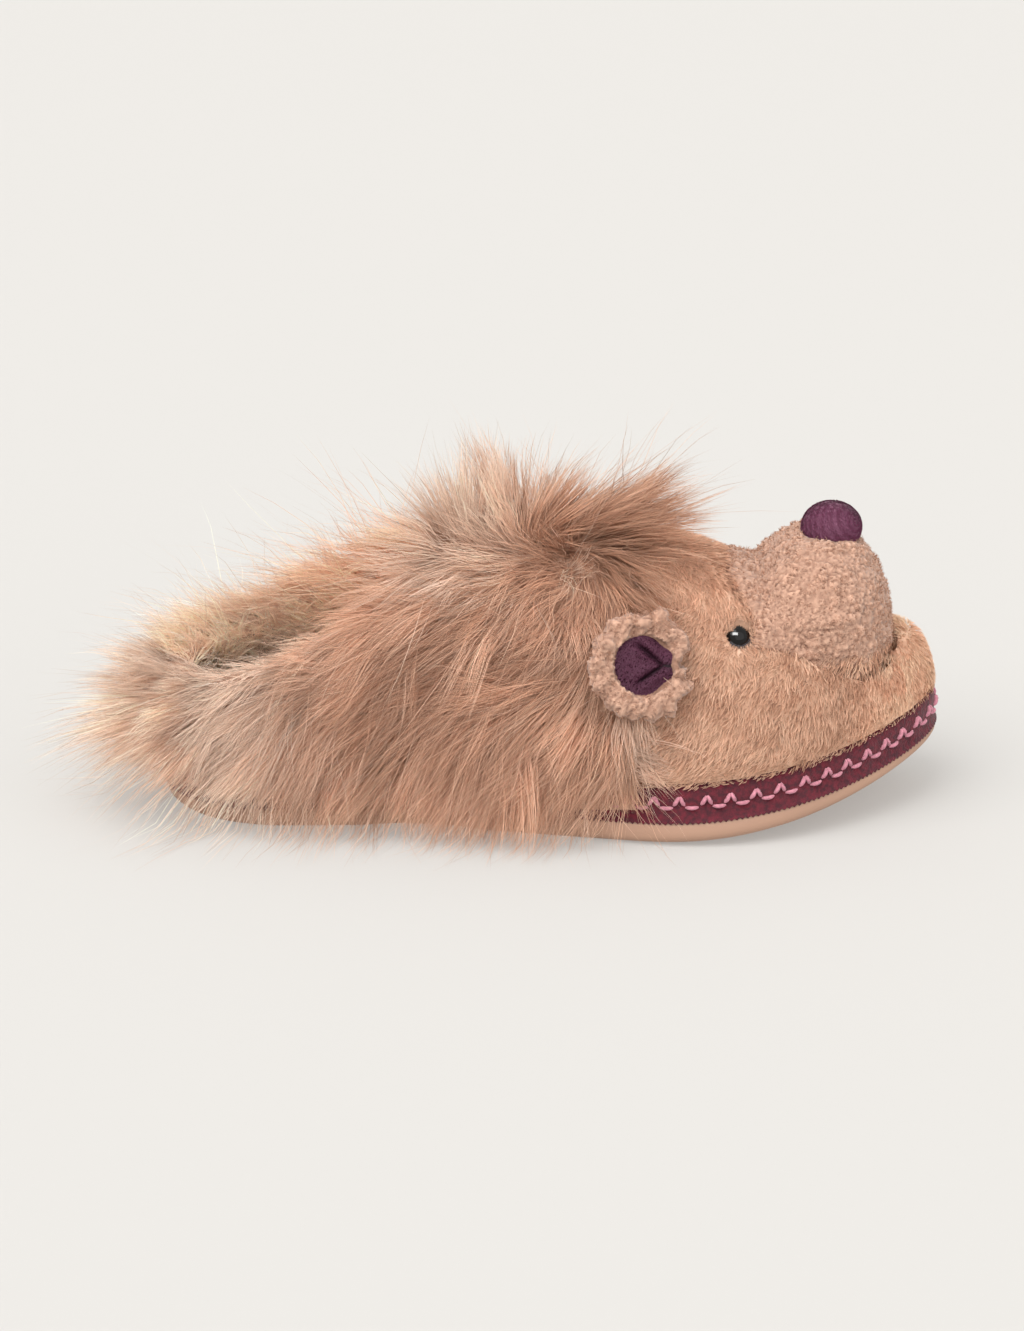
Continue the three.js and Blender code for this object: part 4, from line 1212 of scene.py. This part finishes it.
def make_eye(inner, which):
    """A glossy bead, the dark lashes round its lower edge and the lid's plush, darkened as painted shade,
    round its upper one.
    """
    place, ahead, across, out = eye_frame(inner)
    rings = []
    for polar in np.linspace(0, math.pi / 2 - 0.03, 14):
        flat = EYE_RADIUS * math.cos(polar)
        high = -EYE_SUNK + EYE_DOME * math.sin(polar)
        rings.append(place + flat * round_axes(full_turn(40), ahead, across) + high * out)
    bead = ring_mesh("bead_" + which, rings, False)
    fit_on(bead, BEAD)
    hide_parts("eye_" + which)
    t = np.linspace(0, 1, 4)[None, :, None]

    def arc(low, high, count):
        turn = uniform(low, high, count)
        return round_axes(-turn if inner else turn, ahead, across)

    def paths(p, start, low, high, bend):
        reach = uniform(low, high, len(p))[:, None, None]
        return p[:, None] + reach * (start[:, None] * t - out * bend * t * t)

    count = HAIRS["lashes"]
    circle = arc(-2.5, -0.2, count)
    p = place + circle * EYE_RADIUS * uniform(0.8, 0.98, (count, 1)) + out * 0.2
    flow = 0.45 * circle + np.array([0.1, 0, -1.0])
    lashes = paths(p, unit(unit(flow) + 0.45 * out), 0.9, 2.4, 0.35)
    side = unit(np.cross(out, flow))
    tints = np.tile(LASH, (count, 4, 1)) * uniform(0.5, 1.6, (count, 1, 1))
    widths = uniform(0.14, 0.24, count)
    fit_on(ribbons("lashes_" + which, lashes, widths, side, tints), LASHES)
    count = HAIRS["lids"]
    circle = arc(0.5, 2.9, count)
    rim = EYE_RADIUS * uniform(0.92, 1.12, (count, 1))
    p = place + circle * rim + out * uniform(0.2, 1.5, (count, 1))
    start = unit(-0.9 * circle + 0.35 * out + np.array([-0.2, 0, -0.2]))
    lids = paths(p, start, 1.2, 2.1, 0.1)
    side = unit(np.cross(out, start))
    # Painted shade: the lid's plush is darker than the face, for the shade above the eye
    tints = PLUSH_DARK * (0.6 + 0.25 * t) + np.zeros((count, 1, 1))
    widths = uniform(0.3, 0.5, count)
    fit_on(ribbons("lids_" + which, lids, widths, side, tints), PILE)


PAD_REACH = 11.2
# Creases of the lining: turn from straight back, and length as a share of the lining's reach
CREASES = ((0.71, 1.15), (-0.6, 1.05), (math.pi, 0.45))


def make_ear_pad(inner, which):
    """Velvet lining of an ear: a leaf drawn up in front, with creases that meet at a knot there."""
    place, ahead, across, out = ear_frame(inner)
    flip = -1 if inner else 1
    turn = full_turn(90)
    knot = np.array([PAD_REACH * 0.56, 0])

    def leaf(share):
        wrapped = np.abs(np.arctan2(np.sin(turn), np.cos(turn)))
        pinch = 0.16 * hill(wrapped - 0.75, 0.4)
        reach = share * PAD_REACH * (1 - pinch) * (1 + 0.03 * np.sin(3 * turn + 1))
        return np.stack([reach * np.cos(turn), flip * reach * np.sin(turn)], -1)

    def folds(flat):
        """How far into a crease, and how far up the swelling beside one, a point lies."""
        groove = np.zeros(len(flat))
        swell = np.zeros(len(flat))
        for lean, long in CREASES:
            way = np.array([-math.cos(lean), flip * math.sin(lean)])
            along = (flat - knot) @ way
            aside = (flat - knot) @ np.array([-way[1], way[0]])
            reach = PAD_REACH * long
            fade = (1 - ramp(0.6 * reach, reach, along)) * ramp(-1.5, 0.3, along)
            groove = np.maximum(groove, hill(aside, 0.75) * fade)
            swell = np.maximum(swell, hill(np.abs(aside) - 2.2, 1.4) * fade)
        return groove, swell

    def relief(flat, share):
        groove, swell = folds(flat)
        front = ramp(0.35, 0.8, flat[:, 0] / PAD_REACH)
        high = np.maximum(1.6 + 2.0 * (1 - share**2.4) + 0.7 * swell - 1.8 * groove, 1.4)
        return high * (1 - front) + 3.4 * front * hill(flat[:, 1], 7) + 0.4 * front

    def raise_leaf(flat, high):
        return place + flat[:, :1] * ahead + flat[:, 1:] * across + high[:, None] * out

    rings = [raise_leaf(leaf(share), -1.4 + 0 * turn) for share in (0.3, 0.97)]
    for share in np.linspace(1, 0.03, 30):
        flat = leaf(share)
        high = relief(flat, share) if share < 0.999 else 0.6 + 0 * turn
        rings.append(raise_leaf(flat, high))
    pad = ring_mesh("ear_lining_" + which, rings, False)
    fit_on(pad, SHADED_EAR_VELVET)
    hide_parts("ear_velvet_" + which)
    count = HAIRS["ear_nap"]
    share = np.sqrt(random.random(count)) * 0.98
    turn = uniform(0, 2 * math.pi, count)
    flat = leaf(share)
    step = 0.05
    high = relief(flat, share)
    slope_x = (relief(flat + np.array([step, 0]), share) - high) / step
    slope_y = (relief(flat + np.array([0, step]), share) - high) / step
    n = unit(out - slope_x[:, None] * ahead - slope_y[:, None] * across)
    p = raise_leaf(flat, high)
    groove = folds(flat)[0]
    flow = -ahead * 0.6 - np.array([0, 0, 0.8]) + 0 * p
    # Painted light: the nap that faces up gets lighter streaks
    streak = 0.2 + 0.6 * np.clip(n[:, 2], 0, 1)
    # Painted shade: the ear's nap is darker than the nose's, as on a side turned from the light, and darker
    # still in the creases
    shade_tone = 0.66 * (1 - 0.85 * groove)
    brushed(p, n, flow, streak, "ear_nap_" + which, 0.9, 0.42, shade_tone)


def make_lining():
    """Standing pile on the insole and the inner walls, as far in as the collar lets one see."""

    def inner_wall(middle, n):
        centre_y = plan(share_at(middle[:, 0]))[1]
        inward = (centre_y - middle[:, 1]) * n[:, 1] + (38 - middle[:, 2]) * n[:, 2]
        return (inward > 0) * (middle[:, 0] < 95) * (middle[:, 2] > 15) * 1.0

    def top_side(middle, n):
        return (n[:, 2] > 0.5) * (middle[:, 0] < 95) * 1.0

    for name, node, count, keep in (
        ("wall_pile", "upper", HAIRS["walls"], inner_wall),
        ("insole_pile", "insole", HAIRS["insole"], top_side),
    ):
        p, n = mesh_roots(nodes[node], count, keep)
        flow = noise(1, (count, 3)) + np.array([-0.8, 0, 0.3])
        length = uniform(6, 9, count)
        # Painted shade: the lining's patches mix its lit colour with its shaded copy, and the fibres' roots
        # are darkened
        short_pile(name, p, n, flow, length, 0.5, LINING, LINING_SHADE, PILE, 1.9, 12, 0.45)


def cloth_start(over):
    """Share of the length where the curly cloth starts, by the angle up from either side."""
    return share_at(EYE_FRONT - 8 * ramp(54, 76, over))


def make_muzzle():
    """The muzzle and the curly cloth that runs from it up to the eyes, in one stuffed piece."""
    angles = np.linspace(CLOTH_ANGLE, 180 - CLOTH_ANGLE, 70)
    over = 90 - np.abs(angles - 90)
    start = cloth_start(over)
    rings = []
    for u in np.linspace(0, 1, 30):
        s = start + (CLOTH_END - start) * u
        proud = ramp(0, 0.15, u) * ramp(0, 6, over - CLOTH_ANGLE)
        rings.append(np.concatenate([last_point(s, angles, 0.3 + proud), last_point(s, angles, -1)[::-1]]))
    cloth = ring_mesh("cloth", rings, False)
    form = nodes["muzzle"].data.copy()
    co = read_mesh(form, "co").astype(float) / MM
    co[:, 2] -= 4.5 * (1 - ramp(158, 184, co[:, 0])) * ramp(64, 84, co[:, 2])
    form.vertices.foreach_set("co", (co * MM).astype(np.float32).ravel())

    def coverage(p, n):
        return ramp(MOUTH_LINE - 2, MOUTH_LINE, p[:, 2])

    muzzle, centres = knotted("curly_muzzle", [form, cloth.data], coverage, 0.8)
    bpy.data.objects.remove(cloth)
    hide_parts("muzzle")
    curly("muzzle_curls", muzzle, centres, HAIRS["muzzle"], outer_muzzle)


def outer_muzzle(middle, n):
    buried = push_out(middle, 0.2)
    return (np.linalg.norm(buried - middle, axis=-1) < 0.5) * (middle[:, 2] > MOUTH_LINE) * 1.0


def under_mouth(middle, n):
    return (middle[:, 2] <= MOUTH_LINE) * (middle[:, 2] > 36) * 1.0


def make_lip():
    """Short plush on what shows of the muzzle under the mouth line."""
    p, n = mesh_roots(nodes["muzzle"], HAIRS["lip"], under_mouth)
    flow = np.tile([-0.6, 0, -0.8], (len(p), 1))
    length = np.full(len(p), 3.6)
    light = PLUSH * 1.15
    short_pile("lip_pile", p, n, flow, length, 0.42, light, PLUSH_DARK * 1.2, PILE, 0.75, 45)


def ear_ring(inner):
    """A test for the curly part of an ear, without its dish and the notch in front."""

    def keep(middle, n):
        ahead, across, high = in_ear(middle, inner)
        dish = (np.hypot(ahead, across) < PAD_REACH * 0.92) & (high > -2)
        notch = (ahead > 0) & (np.abs(across) < 1.3) & (high > 0)
        return (~(dish | notch)) * 1.0

    return keep


dress("upper", PLUSH_BASE)
dress("insole", LINING_BASE)
make_undercoat()
make_mane()
make_rim()
make_wisps()
make_face()
make_sole()
make_band()
make_embroidery()
make_nose()
make_lining()
make_muzzle()
make_lip()
for which, inner in (("outer_side", False), ("inner_side", True)):
    ring = ear_ring(inner)
    ear, centres = knotted("curly_ear_" + which, [nodes["ear_" + which].data], ring, 3.0)
    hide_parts("ear_" + which)
    curly("ear_curls_" + which, ear, centres, HAIRS["ear"], ring)
    make_ear_pad(inner, which)
    make_eye(inner, which)


# Floor and backdrop in one sheet, light and camera
def make_stage():
    profile = [(-4000, 0), (2600, 0)]
    for i in range(1, 13):
        w = math.radians(90 * i / 12)
        profile.append((2600 + 900 * math.sin(w), 900 - 900 * math.cos(w)))
    profile.append((3500, 5000))
    verts = []
    for y, z in profile:
        verts.append((-6000, y, z))
        verts.append((6000, y, z))
    sheet = quad_mesh("backdrop", verts, [[a, a + 1, a + 3, a + 2] for a in range(0, len(verts) - 2, 2)])
    mat, _, shader = material("paper", 0.95, 0.0)
    shader.inputs["Base Color"].default_value = (*PAPER, 1)
    shader.inputs["Emission Color"].default_value = (*PAPER_GLOW, 1)
    shader.inputs["Emission Strength"].default_value = 1.0
    sheet.data.materials.append(mat)


def lamp(name, kind, place, size, power, colour):
    light = bpy.data.lights.new(name, kind)
    light.energy = power
    light.color = colour
    if kind == "SUN":
        light.angle = size
    else:
        light.shape = "RECTANGLE"
        light.size = size
        light.size_y = size / 2
    obj = placed(name, light)
    obj.location = Vector(place)
    obj.rotation_euler = (TARGET - Vector(place)).to_track_quat("-Z", "Y").to_euler()
    return obj


PAPER = screen(154, 153, 151)
PAPER_GLOW = screen(150, 148, 145)
TARGET = Vector((0.0825, 0, 0.0456))
make_stage()
lamp("key", "SUN", (-0.5, -0.6, 1.3), math.radians(50), 2.5, (1, 0.985, 0.965))
lamp("fill", "SUN", (1.0, -1.6, 0.9), math.radians(70), 0.9, (1, 0.98, 0.97))
glint = lamp("glint", "AREA", (0.0, -0.74, 0.9), 0.8, 38, (1, 1, 1))
glint.visible_diffuse = False
glint.visible_transmission = False
world = bpy.data.worlds.new("studio")
world.use_nodes = True
sky = world.node_tree.nodes["Background"].inputs
sky["Color"].default_value = (1.0, 0.99, 0.975, 1)
sky["Strength"].default_value = 1.0
bpy.context.scene.world = world
bpy.context.scene.view_settings.view_transform = "Standard"

ELEVATION = math.radians(20)
DISTANCE = 1.3
camera = bpy.data.cameras.new("camera")
camera.lens = 104.8
camera.sensor_width = 36
camera.clip_end = 20
view = placed("camera", camera)
view.location = TARGET + Vector((0, -math.cos(ELEVATION), math.sin(ELEVATION))) * DISTANCE
view.rotation_euler = (math.pi / 2 - ELEVATION, 0, 0)
bpy.context.scene.camera = view
